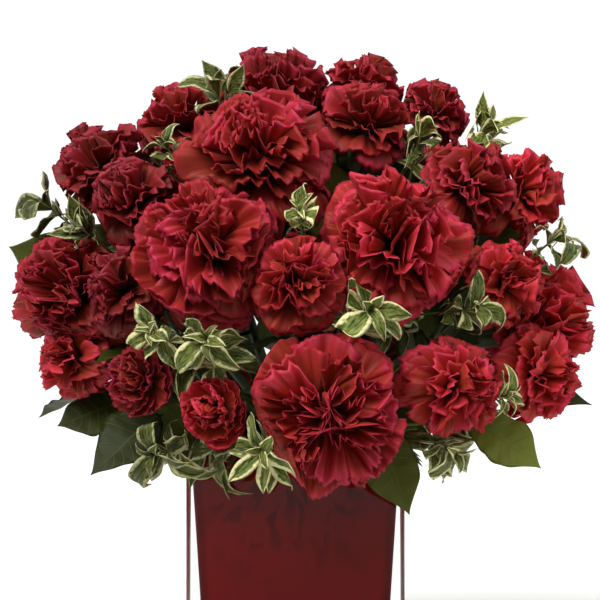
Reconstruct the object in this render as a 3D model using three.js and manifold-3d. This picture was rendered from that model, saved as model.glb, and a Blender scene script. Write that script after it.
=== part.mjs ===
/**
 * Crimson carnations in a square glass vase.
 *
 * Millimetres, +Z up, the front of the arrangement towards -Y. The origin is the middle of the
 * underside of the vase. Stems stand in plain holes in a block of floral foam, and every bloom,
 * sprig and leaf on them keeps to its own side of a set of flat fences, so no two pieces cross.
 */
import * as THREE from "three";
import Module from "manifold-3d";

const wasm = await Module();
wasm.setup();

// Vase: a clear glass cube with a thick base, and a thin ruby layer that lines its cavity.
const VASE_SIDE = 115;
const VASE_HEIGHT = 115;
const VASE_CORNER = 3;
const VASE_EDGE = 1.5;
const CAVITY_FLOOR = 17;
const CAVITY_HALF_AT_FLOOR = 48.5;
const CAVITY_HALF_AT_RIM = 54.8;
const CAVITY_CORNER = 4;
const RUBY_THICKNESS = 1.3;
const SEAT_GAP = 0.3;
const CORNER_STEPS = 2;

// Floral foam: fills the vase, steps in below the rim and stands above it.
const FOAM_SHOULDER = 104;
const FOAM_NECK = 113;
const FOAM_TOP = 146;
const FOAM_NECK_HALF = 40;
const FOAM_CHAMFER = 6;
const FOAM_CORNER = 6;

// Stems: their feet lie on a small flattened ball inside the foam.
const HEART = new THREE.Vector3(0, 0, 125);
const FOOT_REACH = new THREE.Vector3(26, 26, 9);
const EXIT_REACH = 64;
const STEM_SIDES = 5;
const TWIG_SIDES = 3;
const HOLE_CLEARANCE = 0.35;
const STEM_RADIUS = { standard: 2.6, spray: 2.1, branch: 1.3, twig: 1.3, broad: 1.5 };

// Blooms face away from this point.
const DOME_HEART = new THREE.Vector3(0, 0, 158);

// Thickness of petals and of leaves.
const BLADE = 0.85;
const LEAF_BLADE = 0.8;

// Fences: the gap on each side of one, the share of the room before it that a petal crosses freely
// before it bends, and how far two blooms that are pressed together run into each other.
const FENCE_GAP = 0.22;
const FREE_SHARE = 0.72;
const PRESSED = 9;

// Joining: edges shorter than a sliver are closed up, and scraps smaller than this are dropped.
const SLIVER = 0.05;
const LARGEST_SCRAP = 2;

// Petals: where the cut between two of them ends, where their fold lies, how much of its place each
// one fills, and its wavy edge. The throat is the ring at which a whorl leaves the core.
const GAP_SHARE = 0.55;
const NECK_SHARE = 0.62;
const LOBE_SHARE = 0.93;
const TOOTH_DEPTH = 0.035;
const RUFFLE = 0.07;
const THROAT_SHARE = 0.24;
const THROAT_TURNS = [0, 1, 2].map((third) => (third * 2 * Math.PI) / 3);

// Sprig leaves: half width for their length, notch between neighbours, twist, and each whorl's turn.
const LEAF_SLIMNESS = 0.23;
const LEAF_NOTCH = 2.8;
const LEAF_TWIST = 0.06;
const WHORL_TURN = 0.7;
const ROSETTE_NECK = 9;

/** The two whorls of a rosette: how far they lean out, how low they sit and where they are wide. */
const LEAF_WHORLS = [
  {
    tilt: 64,
    drop: 6,
    stations: [
      { share: 0.42, half: 0.9 },
      { share: 0.74, half: 0.8 },
    ],
  },
  { tilt: 34, drop: 2, stations: [{ share: 0.5, half: 1 }] },
];

/** Where a broad leaf is how wide, from its base to its tip. */
const BROAD_STATIONS = [
  { share: 0.14, half: 0.5 },
  { share: 0.36, half: 1 },
  { share: 0.6, half: 0.9 },
  { share: 0.82, half: 0.45 },
];

/** Sizes of one kind of bloom; whorls run from the outermost to the innermost. */
const KINDS = {
  grand: {
    calyx: { length: 27, radius: 7, mouth: 8.5 },
    middle: 15,
    whorls: [
      { petals: 7, tilt: 98, reach: 1, teeth: 3, folded: true },
      { petals: 6, tilt: 78, reach: 1, teeth: 3, folded: true },
      { petals: 5, tilt: 57, reach: 0.98, teeth: 3, folded: false },
      { petals: 3, tilt: 36, reach: 0.95, teeth: 2, folded: true },
      { petals: 2, tilt: 16, reach: 0.85, teeth: 2, folded: true },
    ],
  },
  standard: {
    calyx: { length: 27, radius: 6.5, mouth: 8 },
    middle: 15,
    whorls: [
      { petals: 6, tilt: 96, reach: 1, teeth: 3, folded: true },
      { petals: 5, tilt: 73, reach: 1, teeth: 3, folded: false },
      { petals: 4, tilt: 48, reach: 0.98, teeth: 2, folded: false },
      { petals: 2, tilt: 22, reach: 0.92, teeth: 2, folded: true },
    ],
  },
  rear: {
    calyx: { length: 27, radius: 6.5, mouth: 8 },
    middle: 15,
    whorls: [
      { petals: 6, tilt: 94, reach: 1, teeth: 3, folded: false },
      { petals: 4, tilt: 64, reach: 1, teeth: 2, folded: false },
      { petals: 3, tilt: 34, reach: 0.98, teeth: 2, folded: false },
    ],
  },
  mini: {
    calyx: { length: 18, radius: 4.2, mouth: 5 },
    middle: 9,
    whorls: [
      { petals: 5, tilt: 88, reach: 1, teeth: 3, folded: false },
      { petals: 4, tilt: 56, reach: 1, teeth: 2, folded: false },
      { petals: 2, tilt: 24, reach: 0.95, teeth: 2, folded: true },
    ],
  },
  bud: {
    calyx: { length: 18, radius: 4.4, mouth: 5.4 },
    middle: 10,
    whorls: [
      { petals: 5, tilt: 60, reach: 1.05, teeth: 3, folded: false },
      { petals: 4, tilt: 38, reach: 1.05, teeth: 2, folded: false },
      { petals: 2, tilt: 18, reach: 1.05, teeth: 2, folded: true },
    ],
  },
};

/** Blooms: the middle of each head (across, depth, height), its full diameter and its kind. */
const BLOOMS = {
  front_low: { at: [14, -112, 141], size: 92, kind: "grand" },
  front_left: { at: [-42, -101, 219], size: 88, kind: "standard" },
  front_right: { at: [49, -97, 225], size: 88, kind: "standard" },
  upper_left: { at: [-20, -72, 268], size: 88, kind: "standard" },
  top: { at: [-13, 2, 303], size: 78, kind: "standard" },
  far_left: { at: [-119, -38, 199], size: 80, kind: "standard" },
  far_right: { at: [129, -10, 181], size: 83, kind: "standard" },
  back_top: { at: [20, 60, 284], size: 88, kind: "rear" },
  back_high_left: { at: [-68, 66, 248], size: 88, kind: "rear" },
  back_high_right: { at: [80, 58, 248], size: 88, kind: "rear" },
  back_middle: { at: [4, 114, 214], size: 90, kind: "rear" },
  back_left: { at: [-118, 46, 196], size: 86, kind: "rear" },
  back_right: { at: [112, 62, 186], size: 86, kind: "rear" },
  back_low_left: { at: [-62, 106, 164], size: 88, kind: "rear" },
  back_low_right: { at: [52, 112, 158], size: 88, kind: "rear" },
  crown_left: { at: [-102, -18, 264], size: 62, kind: "mini" },
  crown_left_front: { at: [-84, -55, 246], size: 56, kind: "mini" },
  crown_left_top: { at: [-62, -4, 290], size: 58, kind: "mini" },
  crown_right_back: { at: [36, -12, 307], size: 52, kind: "mini" },
  crown_right_front: { at: [38, -43, 289], size: 54, kind: "mini" },
  crown_right: { at: [76, -12, 298], size: 44, kind: "mini" },
  shoulder_right_front: { at: [90, -53, 256], size: 56, kind: "mini" },
  shoulder_right: { at: [118, -30, 252], size: 58, kind: "mini" },
  side_right: { at: [108, -62, 205], size: 52, kind: "mini" },
  side_right_low: { at: [127, -44, 157], size: 55, kind: "mini" },
  low_right: { at: [80, -90, 151], size: 60, kind: "mini" },
  side_left: { at: [-88, -76, 200], size: 54, kind: "mini" },
  side_left_low: { at: [-117, -44, 165], size: 48, kind: "mini" },
  low_left: { at: [-79, -86, 155], size: 44, kind: "bud" },
  low_middle: { at: [-40, -104, 140], size: 44, kind: "bud" },
  centre: { at: [1, -112, 203], size: 58, kind: "mini" },
};

/** Petal nodes: blooms that are pressed together share one. */
const HEADS = {
  bloom_front_low: ["front_low"],
  bloom_front_left: ["front_left"],
  bloom_front_right: ["front_right"],
  bloom_upper_left: ["upper_left"],
  blooms_top: ["top", "crown_left_top", "back_top"],
  blooms_far_left: ["far_left", "side_left_low"],
  blooms_far_right: ["far_right", "side_right_low"],
  blooms_back_left: ["back_high_left", "back_left"],
  blooms_back_right: ["back_high_right", "back_right"],
  blooms_back_middle: ["back_middle", "back_low_right"],
  bloom_back_low: ["back_low_left"],
  mini_blooms_crown_left: ["crown_left", "crown_left_front"],
  mini_blooms_crown_right: ["crown_right_back", "crown_right_front"],
  mini_bloom_crown_far_right: ["crown_right"],
  mini_blooms_shoulder_right: ["shoulder_right_front", "shoulder_right"],
  mini_bloom_side_right: ["side_right"],
  mini_bloom_low_right: ["low_right"],
  mini_bloom_side_left: ["side_left"],
  mini_bud_low_left: ["low_left"],
  mini_bud_low_middle: ["low_middle"],
  mini_bloom_centre: ["centre"],
};

/** Green stems: one for each large bloom, and one for each spray of mini blooms. */
const STEMS = {
  stem_front_low: ["front_low"],
  stem_front_left: ["front_left"],
  stem_front_right: ["front_right"],
  stem_upper_left: ["upper_left"],
  stem_top: ["top"],
  stem_far_left: ["far_left"],
  stem_far_right: ["far_right"],
  stem_back_top: ["back_top"],
  stem_back_high_left: ["back_high_left"],
  stem_back_high_right: ["back_high_right"],
  stem_back_middle: ["back_middle"],
  stem_back_left: ["back_left"],
  stem_back_right: ["back_right"],
  stem_back_low_left: ["back_low_left"],
  stem_back_low_right: ["back_low_right"],
  spray_crown_left: ["crown_left", "crown_left_front", "crown_left_top"],
  spray_crown_right: ["crown_right_back", "crown_right_front", "crown_right"],
  spray_shoulder_right: ["shoulder_right_front", "shoulder_right"],
  spray_low_right: ["side_right", "side_right_low", "low_right"],
  spray_low_left: ["side_left", "side_left_low", "low_left"],
  stem_low_middle: ["low_middle"],
  stem_centre: ["centre"],
};

/** Cream-edged sprigs: twigs with a rosette of leaves at each tip (across, depth, height). */
const SPRIGS = {
  sprig_crown_left: [
    { at: [-41, -38, 306], leaves: [3, 3], length: 27 },
    { at: [-68, -46, 277], leaves: [5], length: 20 },
  ],
  sprig_crown_back: [
    { at: [-26, 40, 298], leaves: [5], length: 24 },
    { at: [62, 32, 284], leaves: [5], length: 24 },
  ],
  sprig_crown_right: [
    { at: [66, -48, 284], leaves: [3, 3], length: 23 },
    { at: [100, -14, 286], leaves: [5], length: 33 },
  ],
  sprig_right: [{ at: [138, -42, 229], leaves: [4, 3], length: 28 }],
  sprig_low_right: [
    { at: [108, -76, 147], leaves: [4], length: 22 },
    { at: [79, -87, 119], leaves: [4, 3], length: 25 },
  ],
  sprig_centre: [
    { at: [2, -106, 240], leaves: [4, 3], length: 22 },
    { at: [36, -126, 190], leaves: [4, 3], length: 29 },
    { at: [92, -88, 191], leaves: [4, 3], length: 22 },
  ],
  sprig_left: [
    { at: [-44, -122, 176], leaves: [4, 3], length: 25 },
    { at: [-72, -106, 180], leaves: [4, 3], length: 24 },
  ],
  sprig_low_left: [
    { at: [-71, -88, 118], leaves: [4, 3], length: 28 },
    { at: [-16, -122, 122], leaves: [3, 3], length: 26 },
  ],
  sprig_far_left: [
    { at: [-133, -14, 246], leaves: [3, 3], length: 29 },
    { at: [-111, -54, 234], leaves: [3, 3], length: 27 },
  ],
  sprig_back: [
    { at: [52, 98, 232], leaves: [5], length: 25 },
    { at: [-42, 106, 222], leaves: [5], length: 25 },
  ],
};

/** Forks of the sprigs whose own middle lies behind the stem of a bloom. */
const SPRIG_FORKS = {
  sprig_low_right: [66, -44, 128],
  sprig_crown_back: [24, 12, 215],
  sprig_far_left: [-62, -2, 186],
  sprig_low_left: [-5, -64, 121],
  sprig_back: [-12, 60, 200],
  sprig_centre: [17, -66, 184],
};

/** Broad dark leaves: base, tip, the way the upper face looks, and full width. */
const BROAD_LEAVES = {
  broad_leaves_left: [
    { base: [-112, 4, 206], tip: [-156, -4, 226], face: [0.1, -1, 0.5], width: 42 },
    { base: [-100, 24, 150], tip: [-146, 44, 132], face: [-0.3, 0.1, 1], width: 42 },
  ],
  broad_leaves_lower_left: [
    { base: [-88, -30, 143], tip: [-127, -40, 130], face: [-0.2, -1, 0.6], width: 38 },
    { base: [-72, -56, 136], tip: [-107, -72, 106], face: [-0.2, -1, 0.6], width: 32 },
  ],
  broad_leaves_right: [
    { base: [92, -58, 134], tip: [129, -66, 109], face: [0.2, -1, 0.6], width: 33 },
    { base: [41, -78, 130], tip: [59, -90, 86], face: [0.1, -1, 0.3], width: 32 },
  ],
  broad_leaves_back: [
    { base: [12, 84, 128], tip: [22, 132, 106], face: [0, 1, 0.6], width: 42 },
    { base: [-42, 76, 126], tip: [-66, 118, 104], face: [0, 1, 0.6], width: 42 },
  ],
};

const UP = new THREE.Vector3(0, 0, 1);

/** A point from an array of three numbers. */
function point(values) {
  return new THREE.Vector3(...values);
}

/** A repeatable number from 0 to 1 for each whole or broken seed. */
function chance(seed) {
  const wave = Math.sin(seed * 12.9898 + 4.1414) * 43758.5453;
  return wave - Math.floor(wave);
}

/** The unit vector from one point towards another. */
function heading(from, to) {
  return to.clone().sub(from).normalize();
}

/** Two unit vectors across an axis, square to it and to each other. */
function frameAcross(axis) {
  const helper = Math.abs(axis.z) < 0.9 ? UP : new THREE.Vector3(0, -1, 0);
  const side = new THREE.Vector3().crossVectors(helper, axis).normalize();
  return [side, new THREE.Vector3().crossVectors(axis, side)];
}

/** A closed solid from its vertices and its triangles. */
function solidFrom(vertices, triangles) {
  const vertProperties = new Float32Array(vertices.flatMap((v) => [v.x, v.y, v.z]));
  const triVerts = new Uint32Array(triangles.flat());
  return new wasm.Manifold(new wasm.Mesh({ numProp: 3, vertProperties, triVerts }));
}

/** Join solids into one body, without tiny slivers or loose scraps. */
function fuse(solids) {
  const bodies = wasm.Manifold.union(solids).simplify(SLIVER).decompose();
  bodies.sort((one, other) => other.volume() - one.volume());
  if (bodies.length > 1 && bodies[1].volume() > LARGEST_SCRAP) {
    throw new Error("the solids of one piece don't hold together");
  }
  return bodies[0];
}

/** A mesh whose own origin is the given place. */
function meshFrom(name, solid, material, origin = new THREE.Vector3()) {
  const { vertProperties, triVerts } = solid.getMesh();
  const geometry = new THREE.BufferGeometry();
  geometry.setAttribute("position", new THREE.BufferAttribute(new Float32Array(vertProperties), 3));
  geometry.setIndex(new THREE.BufferAttribute(new Uint32Array(triVerts), 1));
  geometry.translate(-origin.x, -origin.y, -origin.z);
  geometry.computeVertexNormals();
  const mesh = new THREE.Mesh(geometry, material);
  mesh.name = name;
  mesh.position.copy(origin);
  return mesh;
}

/** A solid through rings that have the same number of points, closed by a flat cap at each end. */
function loft(rings) {
  const count = rings[0].length;
  const triangles = [];
  for (let ring = 0; ring + 1 < rings.length; ring += 1) {
    for (let i = 0; i < count; i += 1) {
      const a = ring * count + i;
      const b = ring * count + ((i + 1) % count);
      triangles.push([a, b, b + count], [a, b + count, a + count]);
    }
  }
  const last = (rings.length - 1) * count;
  for (let i = 1; i + 1 < count; i += 1) {
    triangles.push([0, i + 1, i], [last, last + i, last + i + 1]);
  }
  return solidFrom(rings.flat(), triangles);
}

/** Rings of a tube along points, with a radius at each. */
function tubeRings(points, radii, sides) {
  const headings = points.map((_, i) =>
    heading(points[Math.max(i - 1, 0)], points[Math.min(i + 1, points.length - 1)]),
  );
  let [side] = frameAcross(headings[0]);
  return points.map((middle, i) => {
    side = side.clone().addScaledVector(headings[i], -side.dot(headings[i])).normalize();
    const other = new THREE.Vector3().crossVectors(headings[i], side);
    return Array.from({ length: sides }, (_, k) => {
      const turn = (k / sides) * 2 * Math.PI;
      return middle
        .clone()
        .addScaledVector(side, radii[i] * Math.cos(turn))
        .addScaledVector(other, radii[i] * Math.sin(turn));
    });
  });
}

/** A tube along points, with a radius at each. */
function tube(points, radii, sides = STEM_SIDES) {
  return loft(tubeRings(points, radii, sides));
}

/** Triangles between two rows of points that may differ in number. */
function stitchRows(startA, countA, startB, countB) {
  const triangles = [];
  let a = 0;
  let b = 0;
  while (a < countA - 1 || b < countB - 1) {
    const nextA = countA > 1 ? (a + 1) / (countA - 1) : Infinity;
    const nextB = countB > 1 ? (b + 1) / (countB - 1) : Infinity;
    if (b === countB - 1 || (a < countA - 1 && nextA < nextB - 1e-9)) {
      triangles.push([startA + a, startA + a + 1, startB + b]);
      a += 1;
    } else {
      triangles.push([startA + a, startB + b + 1, startB + b]);
      b += 1;
    }
  }
  return triangles;
}

/**
 * The two skins of a thin surface, and the walls along its open edges. Where the surface sits on a
 * core, its first points are the ring round the core: that ring has no wall, and keeps its width.
 */
function skins(middle, faces, thickness, core = { sides: 0 }) {
  const normals = middle.map(() => new THREE.Vector3());
  for (const [a, b, c] of faces) {
    const edge = middle[b].clone().sub(middle[a]);
    const normal = edge.cross(middle[c].clone().sub(middle[a])).normalize();
    [a, b, c].forEach((vertex) => normals[vertex].add(normal));
  }
  const across = (i) => (i < core.sides ? core.way : normals[i].clone().normalize());
  const offset = (side) => middle.map((v, i) => v.clone().addScaledVector(across(i), side));
  const vertices = [...offset(thickness / 2), ...offset(-thickness / 2)];
  const under = middle.length;
  const triangles = faces.flatMap(([a, b, c]) => [[a, b, c], [under + c, under + b, under + a]]);
  const edges = new Set(faces.flatMap(([a, b, c]) => [`${a} ${b}`, `${b} ${c}`, `${c} ${a}`]));
  for (const edge of edges) {
    const [a, b] = edge.split(" ").map(Number);
    if (!edges.has(`${b} ${a}`) && Math.max(a, b) >= core.sides) {
      triangles.push([b, a, under + a], [b, under + a, under + b]);
    }
  }
  return { vertices, triangles };
}

/** A closed shell of even thickness round a middle surface of triangles. */
function shell(middle, faces, thickness) {
  const { vertices, triangles } = skins(middle, faces, thickness);
  return solidFrom(vertices, triangles);
}

/** A thin blade whose middle surface runs through rows of points. */
function blade(rows, thickness) {
  const faces = [];
  let start = 0;
  for (let i = 0; i + 1 < rows.length; i += 1) {
    const next = start + rows[i].length;
    faces.push(...stitchRows(start, rows[i].length, next, rows[i + 1].length));
    start = next;
  }
  return shell(rows.flat(), faces, thickness);
}

/** The middle surface of a whorl of lobes round a throat; neighbours meet at the gap points. */
function whorlSurface({ throat, gaps, lobes }) {
  const middle = [...throat, ...gaps];
  const firstGap = throat.length;
  const faces = [];
  const addRow = (row) => {
    middle.push(...row);
    return row.map((_, k) => middle.length - row.length + k);
  };
  const addStrip = (inner, outer) => {
    const lookup = [...inner, ...outer];
    const local = stitchRows(0, inner.length, inner.length, outer.length);
    faces.push(...local.map((triangle) => triangle.map((corner) => lookup[corner])));
  };
  const ring = [];
  lobes.forEach(({ neck, rows }, i) => {
    const before = firstGap + ((i + gaps.length - 1) % gaps.length);
    let inner = [before, ...addRow(neck), firstGap + i];
    ring.push(...inner.slice(0, -1));
    for (const row of rows) {
      const outer = addRow(row);
      addStrip(inner, outer);
      inner = outer;
    }
  });
  addStrip([...throat.keys(), 0], [...ring, ring[0]]);
  return { middle, faces };
}

/**
 * Whorls one above another on a slim core that runs up through rings, as one closed solid.
 * The axis is the way that the stack rises.
 */
function stackWhorls({ rings, whorls, thickness, axis }) {
  const sides = rings[0].length;
  const core = { sides, way: axis.clone().negate() };
  const vertices = rings.flat();
  const triangles = [];
  const addCore = (below, above) => {
    for (let i = 0; i < sides; i += 1) {
      const next = (i + 1) % sides;
      triangles.push([above + next, above + i, below + i]);
      triangles.push([above + next, below + i, below + next]);
    }
  };
  for (let ring = 0; ring + 1 < rings.length; ring += 1) {
    addCore(ring * sides, (ring + 1) * sides);
  }
  let below = (rings.length - 1) * sides;
  for (const whorl of whorls) {
    const { middle, faces } = whorlSurface(whorl);
    const skin = skins(middle, faces, thickness, core);
    const start = vertices.length;
    vertices.push(...skin.vertices);
    triangles.push(...skin.triangles.map((triangle) => triangle.map((corner) => corner + start)));
    addCore(below, start);
    below = start + middle.length;
  }
  for (let i = 1; i + 1 < sides; i += 1) {
    triangles.push([0, i + 1, i], [below, below + i, below + i + 1]);
  }
  return solidFrom(vertices, triangles);
}

/** Outline of a square with rounded corners, at one height. */
function roundedSquare(half, corner, height, steps = CORNER_STEPS) {
  const ring = [];
  for (let quarter = 0; quarter < 4; quarter += 1) {
    const outer = half - corner;
    const x = quarter === 0 || quarter === 3 ? outer : -outer;
    const y = quarter < 2 ? outer : -outer;
    for (let i = 0; i <= steps; i += 1) {
      const turn = ((quarter + i / steps) * Math.PI) / 2;
      ring.push(new THREE.Vector3(x + corner * Math.cos(turn), y + corner * Math.sin(turn), height));
    }
  }
  return ring;
}

/** Half width of the cavity at a height. */
function cavityHalf(height) {
  const share = (height - CAVITY_FLOOR) / (VASE_HEIGHT - CAVITY_FLOOR);
  return THREE.MathUtils.lerp(CAVITY_HALF_AT_FLOOR, CAVITY_HALF_AT_RIM, share);
}

/** A tapered block inside the cavity, drawn in from its walls by an inset. */
function cavityBlock(inset, floor, top) {
  return loft([
    roundedSquare(cavityHalf(floor) - inset, CAVITY_CORNER, floor),
    roundedSquare(cavityHalf(top) - inset, CAVITY_CORNER, top),
  ]);
}

/** The clear outer glass. */
function makeVase() {
  const half = VASE_SIDE / 2;
  const outside = loft([
    roundedSquare(half - VASE_EDGE, VASE_CORNER, 0),
    roundedSquare(half, VASE_CORNER, VASE_EDGE),
    roundedSquare(half, VASE_CORNER, VASE_HEIGHT - VASE_EDGE),
    roundedSquare(half - VASE_EDGE * 0.6, VASE_CORNER, VASE_HEIGHT),
  ]);
  return outside.subtract(cavityBlock(0, CAVITY_FLOOR, VASE_HEIGHT + 1));
}

/** The ruby glass layer that lines the cavity. */
function makeRubyLayer() {
  const inset = SEAT_GAP;
  const floor = CAVITY_FLOOR + SEAT_GAP;
  const shell = cavityBlock(inset, floor, VASE_HEIGHT - 0.5);
  return shell.subtract(cavityBlock(inset + RUBY_THICKNESS, floor + RUBY_THICKNESS, VASE_HEIGHT));
}

/** The foam block, with a plain hole for each stem. */
function makeFoam(holes) {
  const inset = 2 * SEAT_GAP + RUBY_THICKNESS;
  const floor = CAVITY_FLOOR + 2 * SEAT_GAP + RUBY_THICKNESS;
  const block = loft([
    roundedSquare(cavityHalf(floor) - inset, FOAM_CORNER, floor, 1),
    roundedSquare(cavityHalf(FOAM_SHOULDER) - inset, FOAM_CORNER, FOAM_SHOULDER, 1),
    roundedSquare(FOAM_NECK_HALF, FOAM_CORNER, FOAM_NECK, 1),
    roundedSquare(FOAM_NECK_HALF, FOAM_CORNER, FOAM_TOP - FOAM_CHAMFER, 1),
    roundedSquare(FOAM_NECK_HALF - FOAM_CHAMFER, FOAM_CORNER, FOAM_TOP, 1),
  ]);
  return block.subtract(wasm.Manifold.union(holes));
}

/** The foot of a stem in the foam and the point where it leaves, for a far end. */
function rootOf(target) {
  const way = heading(HEART, target);
  const foot = HEART.clone().add(way.clone().multiply(FOOT_REACH));
  const exit = foot.clone().addScaledVector(heading(foot, target), EXIT_REACH - FOOT_REACH.x);
  return { foot, exit };
}

/** The hole that a stem stands in. */
function makeHole({ foot, exit }, radius, sides) {
  const way = heading(foot, exit);
  const start = foot.clone().addScaledVector(way, -HOLE_CLEARANCE);
  const wide = radius + HOLE_CLEARANCE;
  return tube([start, exit], [wide, wide], sides);
}

/** Everything about a bloom that its neighbours need to know. */
function plantBloom(name) {
  const { at, size, kind } = BLOOMS[name];
  const head = point(at);
  const axis = heading(DOME_HEART, head);
  const sizes = KINDS[kind];
  const mouth = head.clone().addScaledVector(axis, -sizes.middle);
  const calyxBase = mouth.clone().addScaledVector(axis, -sizes.calyx.length);
  return { name, head, axis, mouth, calyxBase, radius: size / 2, sizes, ...rootOf(calyxBase) };
}

/** Move a point to the near side of each fence, squeezing only the space close to it. */
function keepInside(place, anchor, fences) {
  const moved = place.clone();
  for (let pass = 0; pass < 3; pass += 1) {
    for (const { normal, limit } of fences) {
      const room = limit - normal.dot(anchor);
      const reach = normal.dot(moved) - normal.dot(anchor);
      const free = room * FREE_SHARE;
      if (reach > free) {
        const squeezed = free + (room - free) * Math.tanh((reach - free) / (room - free));
        moved.addScaledVector(normal, squeezed - reach);
      }
    }
  }
  return moved;
}

/** The fence on the first bloom's side of the space between two stemmed heads. */
function fenceBetween(bloom, other, overlap) {
  const share = bloom.radius / (bloom.radius + other.radius);
  const meeting = bloom.head.clone().lerp(other.head, share);
  const root = bloom.exit.clone().lerp(other.exit, 0.5);
  const spine = heading(root, meeting);
  const normal = other.head.clone().sub(bloom.head);
  normal.addScaledVector(spine, -normal.dot(spine)).normalize();
  return { normal, limit: normal.dot(meeting) - FENCE_GAP - BLADE / 2 + overlap };
}

/** The fence that keeps a bloom clear of a twig that rises beside it. */
function fenceFromTwig(bloom, low, high, radius) {
  const spine = heading(low, high);
  const normal = low.clone().sub(bloom.head);
  normal.addScaledVector(spine, -normal.dot(spine)).normalize();
  return { normal, limit: normal.dot(low) - radius - FENCE_GAP - BLADE / 2 };
}

/** How far from the head the border between a bloom and a leaf near it lies. */
function borderReach(bloom, anchor) {
  return Math.min(bloom.radius * 0.96, bloom.head.distanceTo(anchor) - 4);
}

/** The fence that keeps a bloom below the leaves at an anchor. */
function fenceFromLeaf(bloom, anchor) {
  const normal = heading(bloom.head, anchor);
  const reach = borderReach(bloom, anchor);
  return { normal, limit: normal.dot(bloom.head) + reach - FENCE_GAP - BLADE / 2 };
}

/** The fence that keeps the leaves at an anchor above a bloom. */
function fenceOverBloom(bloom, anchor) {
  const normal = heading(anchor, bloom.head);
  const reach = borderReach(bloom, anchor);
  return { normal, limit: normal.dot(bloom.head) - reach - FENCE_GAP - LEAF_BLADE / 2 };
}

/** The fence half way between two leaf anchors. */
function fenceHalfWay(anchor, other) {
  const normal = heading(anchor, other);
  const limit = normal.dot(anchor.clone().lerp(other, 0.5)) - FENCE_GAP - LEAF_BLADE / 2;
  return { normal, limit };
}

/** A whorl of toothed petals, in a frame whose third axis is the bloom's own. */
function petalWhorl(bloom, whorl, ring) {
  const { petals, teeth } = whorl;
  const half = Math.PI / petals;
  const floor = bloom.radius * (0.1 + 0.05 * ring);
  const seed = bloom.head.x * 0.37 + ring * 7;
  const start = half + 0.5 * (chance(seed) - 0.5);
  const at = (share, angle, tilt, ruffle, reach) => {
    const lean = THREE.MathUtils.degToRad(tilt) * (0.8 + 0.2 * share);
    const out = reach * share * Math.sin(lean) - ruffle * Math.cos(lean);
    const up = floor + reach * share * Math.cos(lean) + ruffle * Math.sin(lean);
    return [out * Math.cos(angle), out * Math.sin(angle), up];
  };
  const full = bloom.radius * whorl.reach;
  const gaps = [];
  const lobes = [];
  for (let i = 0; i < petals; i += 1) {
    const turn = start + 2 * half * i;
    const tilt = whorl.tilt + 6 * (chance(seed + i) - 0.5);
    const reach = full * (0.95 + 0.1 * chance(seed + i + 0.3));
    gaps.push(at(GAP_SHARE, turn + half, whorl.tilt, 0, full));
    const count = 2 * teeth - 1;
    const edge = Array.from({ length: count }, (_, k) => {
      const across = (2 * k) / (count - 1) - 1;
      const tooth = (k % 2 === 0 ? 1 : -1) * TOOTH_DEPTH;
      const share = 1 - 0.1 * across * across + tooth;
      const ruffle = reach * RUFFLE * Math.sin(k * 2.3 + chance(seed + i + 0.7) * 6.3);
      return at(share, turn + across * half * LOBE_SHARE, tilt + 5 * across, ruffle, reach);
    });
    const neck = whorl.folded ? [at(NECK_SHARE, turn, tilt - 4, 0, reach)] : [];
    lobes.push({ neck, rows: [edge] });
  }
  const throat = THROAT_TURNS.map((turn) => at(THROAT_SHARE, turn, whorl.tilt, 0, full));
  return { throat, gaps, lobes };
}

/** One bloom: a slim core that whorls of toothed petals stand out of. */
function bloomSolid(bloom, fences) {
  const [side, other] = frameAcross(bloom.axis);
  const toWorld = ([x, y, z]) =>
    bloom.mouth
      .clone()
      .addScaledVector(bloom.axis, z)
      .addScaledVector(side, x)
      .addScaledVector(other, y);
  const place = (local) => keepInside(toWorld(local), bloom.head, fences);
  const girth = bloom.sizes.calyx.mouth * 0.85;
  const baseRing = THROAT_TURNS.map((turn) =>
    toWorld([girth * Math.cos(turn), girth * Math.sin(turn), SEAT_GAP]),
  );
  const whorls = bloom.sizes.whorls.map((whorl, ring) => {
    const { throat, gaps, lobes } = petalWhorl(bloom, whorl, ring);
    return {
      throat: throat.map(place),
      gaps: gaps.map(place),
      lobes: lobes.map(({ neck, rows }) => ({
        neck: neck.map(place),
        rows: rows.map((row) => row.map(place)),
      })),
    };
  });
  return stackWhorls({ rings: [baseRing], whorls, thickness: BLADE, axis: bloom.axis });
}

/** The green cup under a bloom, from the end of its stem to the mouth. */
function calyxTube(bloom, from) {
  const { length, radius, mouth } = bloom.sizes.calyx;
  const along = (share) =>
    bloom.calyxBase.clone().addScaledVector(bloom.axis, share * length);
  const points = [...from.points, along(0), along(0.2), along(0.75), along(1)];
  const thin = from.radii[from.radii.length - 1];
  return tube(points, [...from.radii, thin, radius * 0.8, radius, mouth]);
}

/** The stem of one bloom, or the branching stem of a spray. */
function stemSolids(blooms) {
  if (blooms.length === 1) {
    const [bloom] = blooms;
    const radius = bloom.radius > 30 ? STEM_RADIUS.standard : STEM_RADIUS.spray;
    const { foot } = bloom;
    const solids = [calyxTube(bloom, { points: [foot], radii: [radius] })];
    return { solids, hole: makeHole(bloom, radius, STEM_SIDES), origin: foot };
  }
  const middle = new THREE.Vector3();
  blooms.forEach((bloom) => middle.addScaledVector(bloom.calyxBase, 1 / blooms.length));
  const root = rootOf(middle);
  const fork = root.foot.clone().lerp(middle, 0.55);
  const trunk = STEM_RADIUS.spray;
  const solids = blooms.map((bloom, i) => {
    const bend = fork.clone().lerp(bloom.calyxBase, 0.6);
    const points = i === 0 ? [root.foot, fork, bend] : [fork, bend];
    const radii = points.map((_, k) => (i === 0 && k < 2 ? trunk : STEM_RADIUS.branch));
    return calyxTube(bloom, { points, radii });
  });
  return { solids, hole: makeHole(root, trunk, STEM_SIDES), origin: root.foot };
}

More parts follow.
